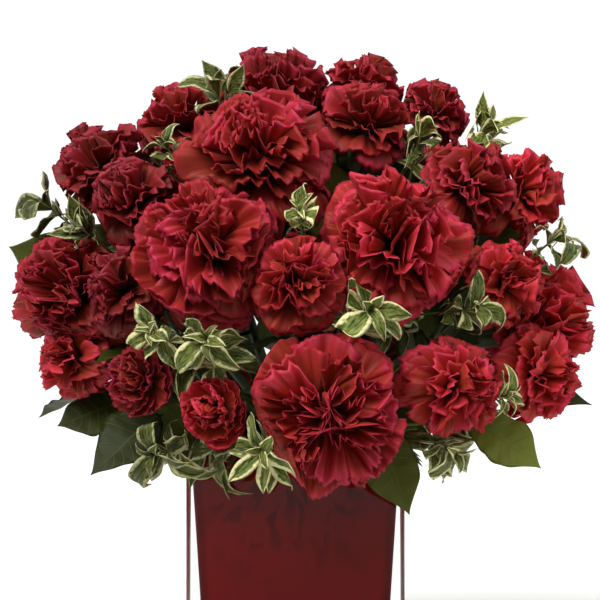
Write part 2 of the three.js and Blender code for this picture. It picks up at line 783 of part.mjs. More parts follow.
/** Rows of points of a pointed leaf: a fold along its rib, a droop and a light wave. */
function leafRows({ base, way, face, length, width, droop, fold, stations, seed }) {
  const side = new THREE.Vector3().crossVectors(way, face).normalize();
  const top = new THREE.Vector3().crossVectors(side, way).normalize();
  const on = (share, across) => {
    const wave = across * width * 0.05 * Math.sin(share * 9 + seed * 3);
    const rise = fold * Math.abs(across) * width * 0.5 - droop * length * share * share + wave;
    return base
      .clone()
      .addScaledVector(way, share * length)
      .addScaledVector(side, across * width * 0.5)
      .addScaledVector(top, rise);
  };
  const rows = [[on(0, 0)]];
  for (const { share, half } of stations) {
    rows.push([on(share, -half), on(share, 0), on(share, half)]);
  }
  rows.push([on(1, 0)]);
  return rows;
}

/** A twig along points that ends in a rosette: whorls of leaves one above another. */
function rosetteSolid(points, rosette, fences) {
  const down = heading(rosette.anchor, points[points.length - 1]);
  const neck = rosette.anchor.clone().addScaledVector(down, ROSETTE_NECK);
  const path = [...points, neck];
  const rings = tubeRings(path, path.map(() => STEM_RADIUS.twig), TWIG_SIDES);
  const rim = rings[rings.length - 1][0].clone().sub(neck);
  const other = new THREE.Vector3().crossVectors(rosette.axis, rim).normalize();
  const side = new THREE.Vector3().crossVectors(other, rosette.axis);
  const keep = (place) => keepInside(place, rosette.anchor, fences);
  const whorls = rosette.leaves.map((count, ring) => {
    const { tilt, drop, stations } = LEAF_WHORLS[ring];
    const centre = rosette.anchor.clone().addScaledVector(down, drop);
    const half = Math.PI / count;
    const start = half + WHORL_TURN * ring;
    const gaps = [];
    const lobes = [];
    for (let i = 0; i < count; i += 1) {
      const seed = rosette.anchor.x * 0.61 + i + ring * 11;
      const turn = start + 2 * half * i;
      const length = rosette.length * (0.8 + 0.3 * chance(seed + 0.5));
      const lean = THREE.MathUtils.degToRad(tilt + 18 * (chance(seed) - 0.5));
      const at = (share, across, angle = turn) => {
        const outward = side
          .clone()
          .multiplyScalar(Math.cos(angle))
          .addScaledVector(other, Math.sin(angle));
        const sideways = new THREE.Vector3().crossVectors(rosette.axis, outward);
        const out = share * length * Math.sin(lean + share * 0.35);
        const up = share * length * Math.cos(lean + share * 0.35);
        const twist = across * length * LEAF_TWIST * Math.sin(seed * 5 + share * 4);
        return centre
          .clone()
          .addScaledVector(outward, out)
          .addScaledVector(rosette.axis, up + twist)
          .addScaledVector(sideways, across * length * LEAF_SLIMNESS);
      };
      const shoulders = stations.map(({ share, half: width }) =>
        [at(share, -width), at(share, width)].map(keep),
      );
      gaps.push(at(LEAF_NOTCH / (length * Math.sin(lean)), 0, turn + half));
      lobes.push({ neck: [], rows: [...shoulders, [keep(at(1, 0))]] });
    }
    const throat = THROAT_TURNS.map((turn) =>
      centre
        .clone()
        .addScaledVector(side, STEM_RADIUS.twig * Math.cos(turn + WHORL_TURN * ring))
        .addScaledVector(other, STEM_RADIUS.twig * Math.sin(turn + WHORL_TURN * ring)),
    );
    return { throat, gaps, lobes };
  });
  return stackWhorls({ rings, whorls, thickness: LEAF_BLADE, axis: rosette.axis });
}

/** The point of a twig where its rosettes part, and the low point of each riser. */
function plantSprig(rosettes, ownFork) {
  const tips = rosettes.map(({ at, leaves, length }) => {
    const anchor = point(at);
    return { anchor, leaves, length, axis: heading(DOME_HEART, anchor) };
  });
  const middle = new THREE.Vector3();
  tips.forEach((tip) => middle.addScaledVector(tip.anchor, 1 / tips.length));
  const root = rootOf(ownFork ? point(ownFork) : middle);
  const fork = ownFork ? point(ownFork) : root.foot.clone().lerp(middle, 0.55);
  for (const tip of tips) {
    tip.low = fork.clone().lerp(tip.anchor, 0.35);
  }
  return { tips, root, fork };
}

/** A twig with its rosettes: the trunk runs on into the first, and side twigs carry the rest. */
function sprigSolids(sprig, fencesOf) {
  const { tips, root, fork } = sprig;
  return tips.map((tip, i) => {
    const points = i === 0 ? [root.foot, fork] : [fork];
    return rosetteSolid(points, tip, fencesOf(tip));
  });
}

/** A stalk with its broad leaves. */
function broadLeafSolids(leaves, fencesOf) {
  const radius = STEM_RADIUS.broad;
  const bases = leaves.map((leaf) => point(leaf.base));
  const middle = new THREE.Vector3();
  bases.forEach((base) => middle.addScaledVector(base, 1 / bases.length));
  const root = rootOf(middle);
  const fork = root.foot.clone().lerp(middle, 0.62);
  const solids = [];
  leaves.forEach((leaf, i) => {
    const tip = point(leaf.tip);
    const way = heading(bases[i], tip);
    const into = bases[i].clone().addScaledVector(way, 1.5);
    const points = i === 0 ? [root.foot, fork, into] : [fork, into];
    solids.push(tube(points, points.map(() => radius), TWIG_SIDES));
    const rows = leafRows({
      base: bases[i],
      way,
      face: point(leaf.face),
      length: bases[i].distanceTo(tip),
      width: leaf.width,
      droop: 0.05,
      fold: 0.18,
      stations: BROAD_STATIONS,
      seed: i + leaf.width,
    });
    const anchor = bases[i].clone().lerp(tip, 0.5);
    const fences = fencesOf(anchor);
    const kept = rows.map((row, r) =>
      row.map((place) => (r === 0 ? place : keepInside(place, anchor, fences))),
    );
    solids.push(blade(kept, LEAF_BLADE));
  });
  return { solids, root, radius };
}

/** A matt or glossy plain material. */
function finish(color, roughness, extra = {}) {
  return new THREE.MeshStandardMaterial({ color, roughness, metalness: 0, ...extra });
}

/** The crimson of the petals. */
function petalMaterial() {
  return finish(0x9c1020, 0.6);
}

/** The grey-green of carnation stems and cups. */
function stemMaterial() {
  return finish(0x5f7f4a, 0.6);
}

/** The green of the cream-edged sprigs. */
function sprigMaterial() {
  return finish(0x6f8a3c, 0.5);
}

/** The dark green of the broad leaves. */
function broadLeafMaterial() {
  return finish(0x1f3d1c, 0.4);
}

const blooms = Object.fromEntries(Object.keys(BLOOMS).map((name) => [name, plantBloom(name)]));
const sprigs = Object.fromEntries(
  Object.entries(SPRIGS).map(([name, rosettes]) => [
    name,
    plantSprig(rosettes, SPRIG_FORKS[name]),
  ]),
);
const broadAnchors = Object.values(BROAD_LEAVES)
  .flat()
  .map(({ base, tip }) => point(base).lerp(point(tip), 0.5));
const tips = Object.values(sprigs).flatMap((sprig) => sprig.tips);

const holes = [];
const petalGroup = new THREE.Group();
const stemGroup = new THREE.Group();
const foliageGroup = new THREE.Group();
const vaseGroup = new THREE.Group();

for (const [node, names] of Object.entries(HEADS)) {
  const solids = names.map((name) => {
    const bloom = blooms[name];
    const fences = [];
    for (const other of Object.values(blooms)) {
      const near = bloom.head.distanceTo(other.head) < (bloom.radius + other.radius) * 1.35;
      if (near && other !== bloom) {
        fences.push(fenceBetween(bloom, other, names.includes(other.name) ? PRESSED : 0));
      }
    }
    for (const tip of tips) {
      if (tip.anchor.distanceTo(bloom.head) < bloom.radius * 1.9) {
        fences.push(fenceFromTwig(bloom, tip.low, tip.anchor, STEM_RADIUS.twig));
        fences.push(fenceFromLeaf(bloom, tip.anchor));
      }
    }
    for (const anchor of broadAnchors) {
      if (anchor.distanceTo(bloom.head) < bloom.radius * 1.8) {
        fences.push(fenceFromLeaf(bloom, anchor));
      }
    }
    return bloomSolid(bloom, fences);
  });
  petalGroup.add(meshFrom(node, fuse(solids), petalMaterial(), blooms[names[0]].mouth));
}

for (const [node, names] of Object.entries(STEMS)) {
  const { solids, hole, origin } = stemSolids(names.map((name) => blooms[name]));
  holes.push(hole);
  stemGroup.add(meshFrom(node, fuse(solids), stemMaterial(), origin));
}

/** Fences round the leaves at one anchor: over the blooms, and half way to other leaves. */
function leafFences(anchor) {
  const fences = [];
  for (const bloom of Object.values(blooms)) {
    if (anchor.distanceTo(bloom.head) < bloom.radius + 40) {
      fences.push(fenceOverBloom(bloom, anchor));
    }
  }
  for (const other of [...tips.map((tip) => tip.anchor), ...broadAnchors]) {
    if (other.distanceTo(anchor) > 1 && other.distanceTo(anchor) < 75) {
      fences.push(fenceHalfWay(anchor, other));
    }
  }
  return fences;
}

for (const [node, sprig] of Object.entries(sprigs)) {
  const solids = sprigSolids(sprig, (tip) => leafFences(tip.anchor));
  holes.push(makeHole(sprig.root, STEM_RADIUS.twig, TWIG_SIDES));
  foliageGroup.add(meshFrom(node, fuse(solids), sprigMaterial(), sprig.root.foot));
}

for (const [node, leaves] of Object.entries(BROAD_LEAVES)) {
  const { solids, root, radius } = broadLeafSolids(leaves, leafFences);
  holes.push(makeHole(root, radius, TWIG_SIDES));
  foliageGroup.add(meshFrom(node, fuse(solids), broadLeafMaterial(), root.foot));
}

const glass = finish(0xdfe8ea, 0.05, { transparent: true, opacity: 0.35 });
vaseGroup.add(meshFrom("vase_glass", makeVase(), glass));
vaseGroup.add(meshFrom("vase_ruby_layer", makeRubyLayer(), finish(0x4a0d10, 0.15)));
vaseGroup.add(meshFrom("floral_foam", makeFoam(holes), finish(0x2f5a35, 0.95)));

const arrangement = new THREE.Group();
arrangement.add(vaseGroup, stemGroup, petalGroup, foliageGroup);

export default arrangement;
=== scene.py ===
"""Crimson carnations in a square glass vase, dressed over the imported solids.

Lengths in this file are millimetres until a mesh is made. +Z is up and the front of the
arrangement faces -Y. The rows of blooms, sprigs and leaves are those of the solids, and each fine
piece keeps to the same flat fences between neighbours, so it stays where its solid is.
"""
import logging
import math
from dataclasses import dataclass, field
from enum import Enum
from typing import Any

import bpy
import numpy as np
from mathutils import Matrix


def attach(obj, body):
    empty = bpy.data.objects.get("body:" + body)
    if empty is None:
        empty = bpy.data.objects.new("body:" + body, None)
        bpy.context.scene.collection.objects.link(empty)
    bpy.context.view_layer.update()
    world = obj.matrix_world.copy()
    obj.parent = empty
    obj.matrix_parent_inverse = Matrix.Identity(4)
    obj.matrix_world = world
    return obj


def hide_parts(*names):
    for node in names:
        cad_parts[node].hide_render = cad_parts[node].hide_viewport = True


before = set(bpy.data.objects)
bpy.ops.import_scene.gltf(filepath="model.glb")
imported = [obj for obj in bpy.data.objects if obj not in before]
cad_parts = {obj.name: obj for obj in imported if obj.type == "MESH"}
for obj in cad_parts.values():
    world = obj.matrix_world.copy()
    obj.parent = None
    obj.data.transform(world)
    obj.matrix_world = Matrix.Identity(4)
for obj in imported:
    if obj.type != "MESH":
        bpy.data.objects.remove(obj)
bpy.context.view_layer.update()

log = logging.getLogger("carnations")
Array = np.ndarray
Place = tuple[float, float, float]
Colour = tuple[float, float, float, float]
Tree = bpy.types.NodeTree
Socket = bpy.types.NodeSocket
Material = bpy.types.Material
Object = bpy.types.Object
# What a mesh carries at its points for its finish, and a blade: its points in rows, and its marks.
Marks = dict[str, Array]
Blade = tuple[Array, Marks]

MM = 0.001
UP = np.array([0.0, 0.0, 1.0])
# The middle of the foam, how far a stem's foot lies from it, and how far out stems leave the foam.
HEART = np.array([0.0, 0.0, 125.0])
FOOT_REACH = np.array([26.0, 26.0, 9.0])
EXIT_REACH = 64.0
# The point that all blooms and sprigs face away from.
DOME_HEART = np.array([0.0, 0.0, 158.0])
# Fences: the gap left at each, and the share of the room before it where nothing bends yet.
FENCE_GAP = 0.22
FREE_SHARE = 0.72
# How many times the fences round a piece are gone over, and how much of a path's corner is cut.
FENCE_ROUNDS = 3
CORNER_CUT = 0.3
# How far petals may run past a fence: into their own piece, into a neighbour, and at a twig.
PRESSED = 7.0
YIELD = 2.5
PARTING = 9.0
# The radii of a sprig's twig, a branching stem, a single stem and a broad leaf's stalk.
TWIG_RADIUS = 1.3
SPRAY_RADIUS = 2.1
STEM_RADIUS = 2.6
BROAD_RADIUS = 1.5


class BloomKind(Enum):
    """The kinds of bloom in the arrangement, from the largest to the smallest."""

    GRAND = "grand"
    STANDARD = "standard"
    REAR = "rear"
    MINI = "mini"
    BUD = "bud"


@dataclass(frozen=True)
class Calyx:
    """The green cup under a bloom: its length, its widest radius and the radius of its mouth."""

    length: float
    radius: float
    mouth: float


@dataclass(frozen=True)
class Whorl:
    """One layer of petals: how many, how far they lean out, and their length and ruffle."""

    petals: int
    tilt: float
    reach: float
    ruffle: float


@dataclass(frozen=True)
class KindSizes:
    """What all blooms of one kind share: the cup, its distance below the middle, whorls, and grid."""

    calyx: Calyx
    middle: float
    whorls: tuple[Whorl, ...]
    columns: int
    rows: int


def whorls(*layers: tuple[int, float, float, float]) -> tuple[Whorl, ...]:
    """Set out the whorls of a bloom, from the outside in."""
    return tuple(Whorl(*layer) for layer in layers)


# The cups that several kinds of bloom share.
LARGE_CUP = Calyx(27, 6.5, 8)
SMALL_CUP = Calyx(18, 4.2, 5)

KINDS: dict[BloomKind, KindSizes] = {
    BloomKind.GRAND: KindSizes(
        Calyx(27, 7, 8.5),
        15,
        whorls(
            (9, 99, 1.0, 0.05), (8, 88, 1.0, 0.06), (8, 76, 0.99, 0.07), (7, 63, 0.98, 0.08),
            (7, 50, 0.96, 0.09), (6, 37, 0.93, 0.1), (5, 24, 0.9, 0.1), (4, 12, 0.84, 0.09),
        ),
        30,
        9,
    ),
    BloomKind.STANDARD: KindSizes(
        LARGE_CUP,
        15,
        whorls(
            (8, 97, 1.0, 0.05), (8, 86, 1.0, 0.06), (7, 74, 0.99, 0.07), (7, 62, 0.98, 0.08),
            (6, 50, 0.97, 0.09), (6, 37, 0.95, 0.1), (5, 24, 0.92, 0.1), (4, 11, 0.88, 0.09),
        ),
        28,
        8,
    ),
    BloomKind.REAR: KindSizes(
        LARGE_CUP,
        15,
        whorls(
            (7, 95, 1.0, 0.055), (6, 79, 1.0, 0.07), (6, 62, 0.99, 0.085),
            (5, 45, 0.97, 0.1), (5, 29, 0.94, 0.1), (4, 14, 0.9, 0.09),
        ),
        20,
        7,
    ),
    BloomKind.MINI: KindSizes(
        SMALL_CUP,
        9,
        whorls(
            (7, 92, 1.0, 0.055), (7, 77, 1.0, 0.07), (6, 62, 0.99, 0.085),
            (6, 46, 0.97, 0.1), (5, 30, 0.95, 0.1), (4, 13, 0.92, 0.1),
        ),
        18,
        7,
    ),
    BloomKind.BUD: KindSizes(
        Calyx(18, 4.4, 5.4),
        10,
        whorls(
            (6, 76, 1.02, 0.03), (6, 65, 1.04, 0.03), (5, 55, 1.05, 0.03), (5, 45, 1.05, 0.035),
            (5, 35, 1.04, 0.04), (4, 25, 1.02, 0.045), (4, 13, 1.0, 0.05),
        ),
        18,
        7,
    ),
}


@dataclass(frozen=True)
class BloomRow:
    """A bloom in the layout: the middle of its head, its width, and what sets it apart."""

    at: Place
    size: float
    kind: BloomKind
    # How bright its red is, from 0 (deep crimson) to 1: partly the bloom's own red, partly painted light
    # and shade for how it is lit; and how deep its teeth are.
    tone: float = 0.5
    teeth: float = 1.2
    # How far it still holds its petals in, from 0 (open) to 1 (closed).
    closed: float = 0.0


BLOOM_ROWS: dict[str, BloomRow] = {
    "front_low": BloomRow((14, -112, 141), 92, BloomKind.GRAND, 0.56, 0.9),
    "front_left": BloomRow((-42, -101, 219), 88, BloomKind.STANDARD, 0.48, 0.8),
    "front_right": BloomRow((49, -97, 225), 88, BloomKind.STANDARD, 0.68, 1.1),
    "upper_left": BloomRow((-20, -72, 268), 88, BloomKind.STANDARD, 0.5, 1.0),
    "top": BloomRow((-13, 2, 303), 78, BloomKind.STANDARD, 0.2, 1.0),
    "far_left": BloomRow((-119, -38, 199), 80, BloomKind.STANDARD, 0.35, 1.7),
    "far_right": BloomRow((129, -10, 181), 83, BloomKind.STANDARD, 0.86, 1.2),
    "back_top": BloomRow((20, 60, 284), 88, BloomKind.REAR),
    "back_high_left": BloomRow((-68, 66, 248), 88, BloomKind.REAR),
    "back_high_right": BloomRow((80, 58, 248), 88, BloomKind.REAR),
    "back_middle": BloomRow((4, 114, 214), 90, BloomKind.REAR),
    "back_left": BloomRow((-118, 46, 196), 86, BloomKind.REAR),
    "back_right": BloomRow((112, 62, 186), 86, BloomKind.REAR),
    "back_low_left": BloomRow((-62, 106, 164), 88, BloomKind.REAR),
    "back_low_right": BloomRow((52, 112, 158), 88, BloomKind.REAR),
    "crown_left": BloomRow((-102, -18, 264), 62, BloomKind.MINI, 0.16, 1.0),
    "crown_left_front": BloomRow((-84, -55, 246), 56, BloomKind.MINI, 0.15, 1.2),
    "crown_left_top": BloomRow((-62, -4, 290), 58, BloomKind.MINI, 0.38, 1.0),
    "crown_right_back": BloomRow((36, -12, 307), 52, BloomKind.MINI, 0.36, 1.3),
    "crown_right_front": BloomRow((38, -43, 289), 54, BloomKind.MINI, 0.38, 1.6),
    "crown_right": BloomRow((76, -12, 298), 44, BloomKind.MINI, 0.34, 1.2),
    "shoulder_right_front": BloomRow((90, -53, 256), 56, BloomKind.MINI, 0.42, 1.2),
    "shoulder_right": BloomRow((118, -30, 252), 58, BloomKind.MINI, 0.86, 1.0),
    "side_right": BloomRow((108, -62, 205), 52, BloomKind.MINI, 0.82, 1.2),
    "side_right_low": BloomRow((127, -44, 157), 55, BloomKind.MINI, 0.92, 1.8),
    "low_right": BloomRow((80, -90, 151), 60, BloomKind.MINI, 0.8, 2.4),
    "side_left": BloomRow((-88, -76, 200), 54, BloomKind.MINI, 0.1, 1.2),
    "side_left_low": BloomRow((-117, -44, 165), 48, BloomKind.MINI, 0.62, 1.8),
    "low_left": BloomRow((-79, -86, 155), 44, BloomKind.BUD, 0.26, 2.2, 0.4),
    "low_middle": BloomRow((-40, -104, 140), 44, BloomKind.BUD, 0.75, 0.7, 0.75),
    "centre": BloomRow((1, -112, 203), 58, BloomKind.MINI, 0.7, 1.3),
}

# The blooms of each piece of petals.
HEADS: dict[str, tuple[str, ...]] = {
    **{f"bloom_{name}": (name,) for name in ("front_low", "front_left", "front_right", "upper_left")},
    "blooms_top": ("top", "crown_left_top", "back_top"),
    "blooms_far_left": ("far_left", "side_left_low"),
    "blooms_far_right": ("far_right", "side_right_low"),
    "blooms_back_left": ("back_high_left", "back_left"),
    "blooms_back_right": ("back_high_right", "back_right"),
    "blooms_back_middle": ("back_middle", "back_low_right"),
    "bloom_back_low": ("back_low_left",),
    "mini_blooms_crown_left": ("crown_left", "crown_left_front"),
    "mini_blooms_crown_right": ("crown_right_back", "crown_right_front"),
    "mini_bloom_crown_far_right": ("crown_right",),
    "mini_blooms_shoulder_right": ("shoulder_right_front", "shoulder_right"),
    **{f"mini_bloom_{name}": (name,) for name in ("side_right", "low_right", "side_left")},
    **{f"mini_bud_{name}": (name,) for name in ("low_left", "low_middle")},
    "mini_bloom_centre": ("centre",),
}

# The blooms of each stem: every large bloom has a stem of its own.
STEMS: dict[str, tuple[str, ...]] = {
    **{f"stem_{name}": (name,) for name, row in BLOOM_ROWS.items() if row.size > 70},
    "spray_crown_left": ("crown_left", "crown_left_front", "crown_left_top"),
    "spray_crown_right": ("crown_right_back", "crown_right_front", "crown_right"),
    "spray_shoulder_right": ("shoulder_right_front", "shoulder_right"),
    "spray_low_right": ("side_right", "side_right_low", "low_right"),
    "spray_low_left": ("side_left", "side_left_low", "low_left"),
    **{f"stem_{name}": (name,) for name in ("low_middle", "centre")},
}


@dataclass(frozen=True)
class RosetteRow:
    """A rosette in the layout: its place, its leaves by whorl, their length and brightness."""

    at: Place
    leaves: tuple[int, ...]
    length: float
    # How bright its leaves are, from 0 to 1: painted shade for a rosette in shadow, painted light for one
    # in full light.
    tone: float = 0.55


@dataclass(frozen=True)
class LeafRow:
    """A single leaf in the layout: its base, its tip, the way its upper face looks, its width."""

    base: Place
    tip: Place
    face: Place
    width: float
    # From 0 (dark) to 1 (olive): partly the leaf's own colour, partly painted light and shade for how it
    # is lit; the cream-edged leaves take the brightness of their sprig.
    olive_and_painted_light: float = 0.0

    @property
    def vectors(self) -> tuple[Array, Array, Array]:
        """The base, the tip and the face, ready to reckon with."""
        return np.array(self.base, float), np.array(self.tip, float), np.array(self.face, float)


@dataclass(frozen=True)
class SprigRow:
    """A sprig in the layout: its rosettes, its fork if that is moved, its single leaves."""

    rosettes: tuple[RosetteRow, ...]
    fork: Place | None = None
    loose: tuple[LeafRow, ...] = ()


SPRIG_ROWS: dict[str, SprigRow] = {
    "sprig_crown_left": SprigRow(
        (RosetteRow((-41, -38, 306), (3, 3), 27, 0.25), RosetteRow((-68, -46, 277), (5,), 20, 0.4)),
        loose=(
            LeafRow((-37, -39, 307), (-50, -41, 324), (-0.4, -1, 0.6), 10),
            LeafRow((-35, -39, 306), (-27, -43, 321), (0.5, -1, 0.3), 9),
        ),
    ),
    "sprig_crown_back": SprigRow(
        (RosetteRow((-26, 40, 298), (5,), 24), RosetteRow((62, 32, 284), (5,), 24)),
        fork=(24, 12, 215),
    ),
    "sprig_crown_right": SprigRow(
        (RosetteRow((66, -48, 284), (3, 3), 23, 1.0), RosetteRow((100, -14, 286), (5,), 33, 1.0)),
        loose=(
            LeafRow((102, -16, 288), (100, -19, 309), (-0.8, -1, 0.2), 9),
            LeafRow((103, -16, 287), (125, -20, 297), (0.1, -0.7, 1), 10),
            LeafRow((102, -18, 286), (96, -32, 272), (0.5, -1, 0.4), 11),
        ),
    ),
    "sprig_right": SprigRow((RosetteRow((138, -42, 229), (4, 3), 28),)),
    "sprig_low_right": SprigRow(
        (RosetteRow((108, -76, 147), (4,), 22, 0.95), RosetteRow((79, -87, 119), (4, 3), 25, 0.6)),
        fork=(66, -44, 128),
    ),
    "sprig_centre": SprigRow(
        (
            RosetteRow((2, -106, 240), (4, 3), 22, 0.92),
            RosetteRow((36, -126, 190), (4, 3), 29, 0.95),
            RosetteRow((92, -88, 191), (4, 3), 22, 0.62),
        ),
        fork=(17, -66, 184),
    ),
    "sprig_left": SprigRow(
        (RosetteRow((-44, -122, 176), (4, 3), 25, 0.7), RosetteRow((-72, -106, 180), (4, 3), 24, 0.6)),
    ),
    "sprig_low_left": SprigRow(
        (RosetteRow((-71, -88, 118), (4, 3), 28, 0.12), RosetteRow((-16, -122, 122), (3, 3), 26, 0.72)),
        fork=(-5, -64, 121),
        loose=(
            LeafRow((-47, -62, 126), (-57, -64, 97), (-0.5, -1, 0.2), 11),
            LeafRow((-36, -62, 124), (-45, -64, 106), (0.1, -1, 0.2), 10),
        ),
    ),
    "sprig_far_left": SprigRow(
        (RosetteRow((-133, -14, 246), (3, 3), 29, 0.0), RosetteRow((-111, -54, 234), (3, 3), 27, 0.08)),
        fork=(-62, -2, 186),
        loose=(
            LeafRow((-111, -54, 233), (-119, -62, 251), (-0.2, -1, 0.2), 10),
            LeafRow((-108, -51, 231), (-112, -63, 246), (0.4, -1, 0.2), 9),
            LeafRow((-108, -51, 231), (-131, -56, 232), (-0.2, -1, 0.6), 9),
        ),
    ),
    "sprig_back": SprigRow(
        (RosetteRow((52, 98, 232), (5,), 25), RosetteRow((-42, 106, 222), (5,), 25)),
        fork=(-12, 60, 200),
    ),
}

BROAD_ROWS: dict[str, tuple[LeafRow, ...]] = {
    "broad_leaves_left": (
        LeafRow((-112, 4, 206), (-156, -4, 226), (0.1, -1, 0.5), 42, 0.3),
        LeafRow((-100, 24, 150), (-146, 44, 132), (-0.3, 0.1, 1), 42, 0.1),
    ),
    "broad_leaves_lower_left": (
        LeafRow((-88, -30, 143), (-127, -40, 130), (-0.2, -1, 0.6), 38, 0.05),
        LeafRow((-72, -56, 136), (-107, -72, 106), (-0.2, -1, 0.6), 32),
    ),
    "broad_leaves_right": (
        LeafRow((92, -58, 134), (129, -66, 109), (0.2, -1, 0.6), 33, 0.95),
        LeafRow((41, -78, 130), (59, -90, 86), (0.1, -1, 0.3), 32, 0.5),
    ),
    "broad_leaves_back": (
        LeafRow((12, 84, 128), (22, 132, 106), (0, 1, 0.6), 42, 0.3),
        LeafRow((-42, 76, 126), (-66, 118, 104), (0, 1, 0.6), 42, 0.15),
    ),
}


@dataclass(frozen=True)
class InnerRow:
    """A leaf deep in the dome: the bloom whose stem it grows from, how far up, its tip, its width."""

    bloom: str
    share: float
    tip: Place
    width: float
    # From 0 (dark) to 1 (olive), partly the leaf's own colour and partly painted light; where none is
    # given it is dark, and chance sets how dark.
    olive_and_painted_light: float | None = None


def inner_rows(**pieces: tuple[tuple, ...]) -> dict[str, tuple[InnerRow, ...]]:
    """Set out the leaves deep in the dome, by the piece that they are part of."""
    return {piece: tuple(InnerRow(*row) for row in rows) for piece, rows in pieces.items()}


# These leaves are seen only in the gaps between blooms.
INNER_ROWS = inner_rows(
    stem_upper_left=(
        ("upper_left", 0.86, (21, -22, 288), 34),
        ("upper_left", 0.55, (-8, -84, 190), 36),
    ),
    stem_front_right=(
        ("front_right", 0.8, (46, -74, 178), 34),
        ("front_right", 0.62, (98, -46, 236), 34),
    ),
    stem_front_left=(
        ("front_left", 0.72, (-64, -72, 168), 34),
        ("front_left", 0.55, (-24, -84, 176), 34),
    ),
    stem_centre=(("centre", 0.6, (18, -84, 188), 32), ("centre", 0.8, (-14, -66, 226), 30)),
    stem_top=(("top", 0.86, (44, -30, 276), 30), ("top", 0.7, (-36, 6, 268), 32)),
    stem_far_right=(
        ("far_right", 0.6, (76, -58, 168), 36),
        ("far_right", 0.8, (112, -30, 208), 34),
        ("far_right", 0.72, (161, -20, 143), 28),
        ("far_right", 0.5, (82, -18, 198), 36),
        ("far_right", 0.86, (124, -8, 262), 40),
    ),
    stem_far_left=(
        ("far_left", 0.6, (-78, -52, 186), 36),
        ("far_left", 0.8, (-96, -34, 216), 34),
        ("far_left", 0.78, (-104, -78, 168), 18),
    ),
    spray_crown_left=(("crown_left", 0.55, (-119, 6, 240), 38),),
    spray_crown_right=(
        ("crown_right_front", 0.62, (18, -46, 272), 40, 0.8),
        ("crown_right", 0.6, (54, 4, 297), 32),
    ),
    stem_back_left=(("back_left", 0.7, (-52, 56, 232), 36), ("back_left", 0.6, (-84, 30, 176), 36)),
    stem_back_right=(
        ("back_right", 0.7, (62, 52, 226), 36),
        ("back_right", 0.6, (88, 30, 170), 36),
        ("back_high_right", 0.8, (118, 22, 238), 34),
    ),
    stem_back_middle=(
        ("back_middle", 0.7, (8, 76, 214), 36),
        ("back_middle", 0.55, (-24, 78, 176), 36),
    ),
    stem_back_low_left=(
        ("back_low_left", 0.42, (-40, 66, 118), 30),
        ("back_low_left", 0.5, (-70, 44, 126), 30),
    ),
    stem_back_low_right=(
        ("back_low_right", 0.42, (38, 68, 120), 30),
        ("back_low_right", 0.5, (0, 74, 124), 28),
    ),
    spray_low_right=(("far_right", 0.4, (72, -12, 120), 32), ("far_right", 0.34, (70, 22, 118), 30)),
    spray_low_left=(("far_left", 0.4, (-72, -16, 120), 32), ("back_left", 0.36, (-70, 20, 120), 30)),
    stem_front_low=(
        ("front_low", 0.4, (30, -70, 124), 28),
        ("low_middle", 0.4, (-34, -70, 122), 28),
        ("low_middle", 0.5, (-88, -56, 122), 34),
    ),
)


def chance(seed: float) -> float:
    """Give a repeatable number from 0 to 1 for a seed.

    Args:
        seed: Any whole or broken number.

    Returns:
        A number from 0 up to 1.
    """
    wave = math.sin(seed * 12.9898 + 4.1414) * 43758.5453
    return wave - math.floor(wave)


def unit(vector: Array) -> Array:
    """Scale a vector to length 1.

    Args:
        vector: A vector of three numbers.

    Returns:
        The unit vector.
    """
    return np.asarray(vector, float) / np.linalg.norm(vector)


def frame_across(axis: Array) -> tuple[Array, Array]:
    """Find two unit vectors square to an axis and to each other.

    Args:
        axis: A unit vector.

    Returns:
        The two vectors.
    """
    helper = UP if abs(axis[2]) < 0.9 else np.array([0.0, -1.0, 0.0])
    side = unit(np.cross(helper, axis))
    return side, np.cross(axis, side)


def basis_of(axis: Array) -> Array:
    """Stand a frame on a unit vector: three rows square to each other, and the last is the vector."""
    return np.stack([*frame_across(axis), axis])


def smooth_step(low: float, high: float, value: Array) -> Array:
    """Rise smoothly from 0 to 1 between two limits.

    Args:
        low: Where the rise starts.
        high: Where the rise ends.
        value: The values to look up.

    Returns:
        The share of the rise at each value.
    """
    share = np.clip((value - low) / (high - low), 0, 1)
    return share * share * (3 - 2 * share)


def smooth_path(corners: list[Array], steps: int = 6) -> Array:
    """Round the corners of a path.

    Args:
        corners: The points that the path follows.
        steps: How many points each corner gets.

    Returns:
        The points of the rounded path.
    """
    path = [corners[0]]
    for before, corner, after in zip(corners, corners[1:], corners[2:]):
        start = corner + (before - corner) * CORNER_CUT
        end = corner + (after - corner) * CORNER_CUT
        for share in np.linspace(0, 1, steps):
            near = start + (corner - start) * share
            far = corner + (end - corner) * share
            path.append(near + (far - near) * share)
    path.append(corners[-1])
    return np.array(path)


@dataclass(frozen=True)
class Fence:
    """A flat border between neighbours: what it belongs to stays on its near side."""

    normal: Array
    limit: float


def keep_inside(places: Array, anchor: Array, fences: list[Fence]) -> Array:
    """Bend points back to the near side of each fence.

    Args:
        places: Points in rows, three numbers each.
        anchor: The middle of the piece, which stays where it is.
        fences: The borders round the piece.

    Returns:
        The points, moved only where they come close to a fence.
    """
    moved = places.copy()
    for _ in range(FENCE_ROUNDS):
        for fence in fences:
            middle = float(fence.normal @ anchor)
            room = fence.limit - middle
            reach = moved @ fence.normal - middle
            free = room * FREE_SHARE
            over = np.maximum(reach - free, 0)
            squeezed = (room - free) * np.tanh(over / (room - free))
            moved += (squeezed - over)[..., None] * fence.normal
    return moved


@dataclass
class Bloom:
    """One bloom: where its head is, where its stem stands and which way it faces."""

    name: str
    row: BloomRow

    def __post_init__(self) -> None:
        """Work out the axis, the mouth of the cup and the foot of the stem."""
        self.sizes = KINDS[self.row.kind]
        self.head = np.array(self.row.at, float)
        self.radius = self.row.size / 2
        self.axis = unit(self.head - DOME_HEART)
        self.mouth = self.head - self.axis * self.sizes.middle
        self.cup_base = self.mouth - self.axis * self.sizes.calyx.length
        self.foot, self.exit = root_of(self.cup_base)


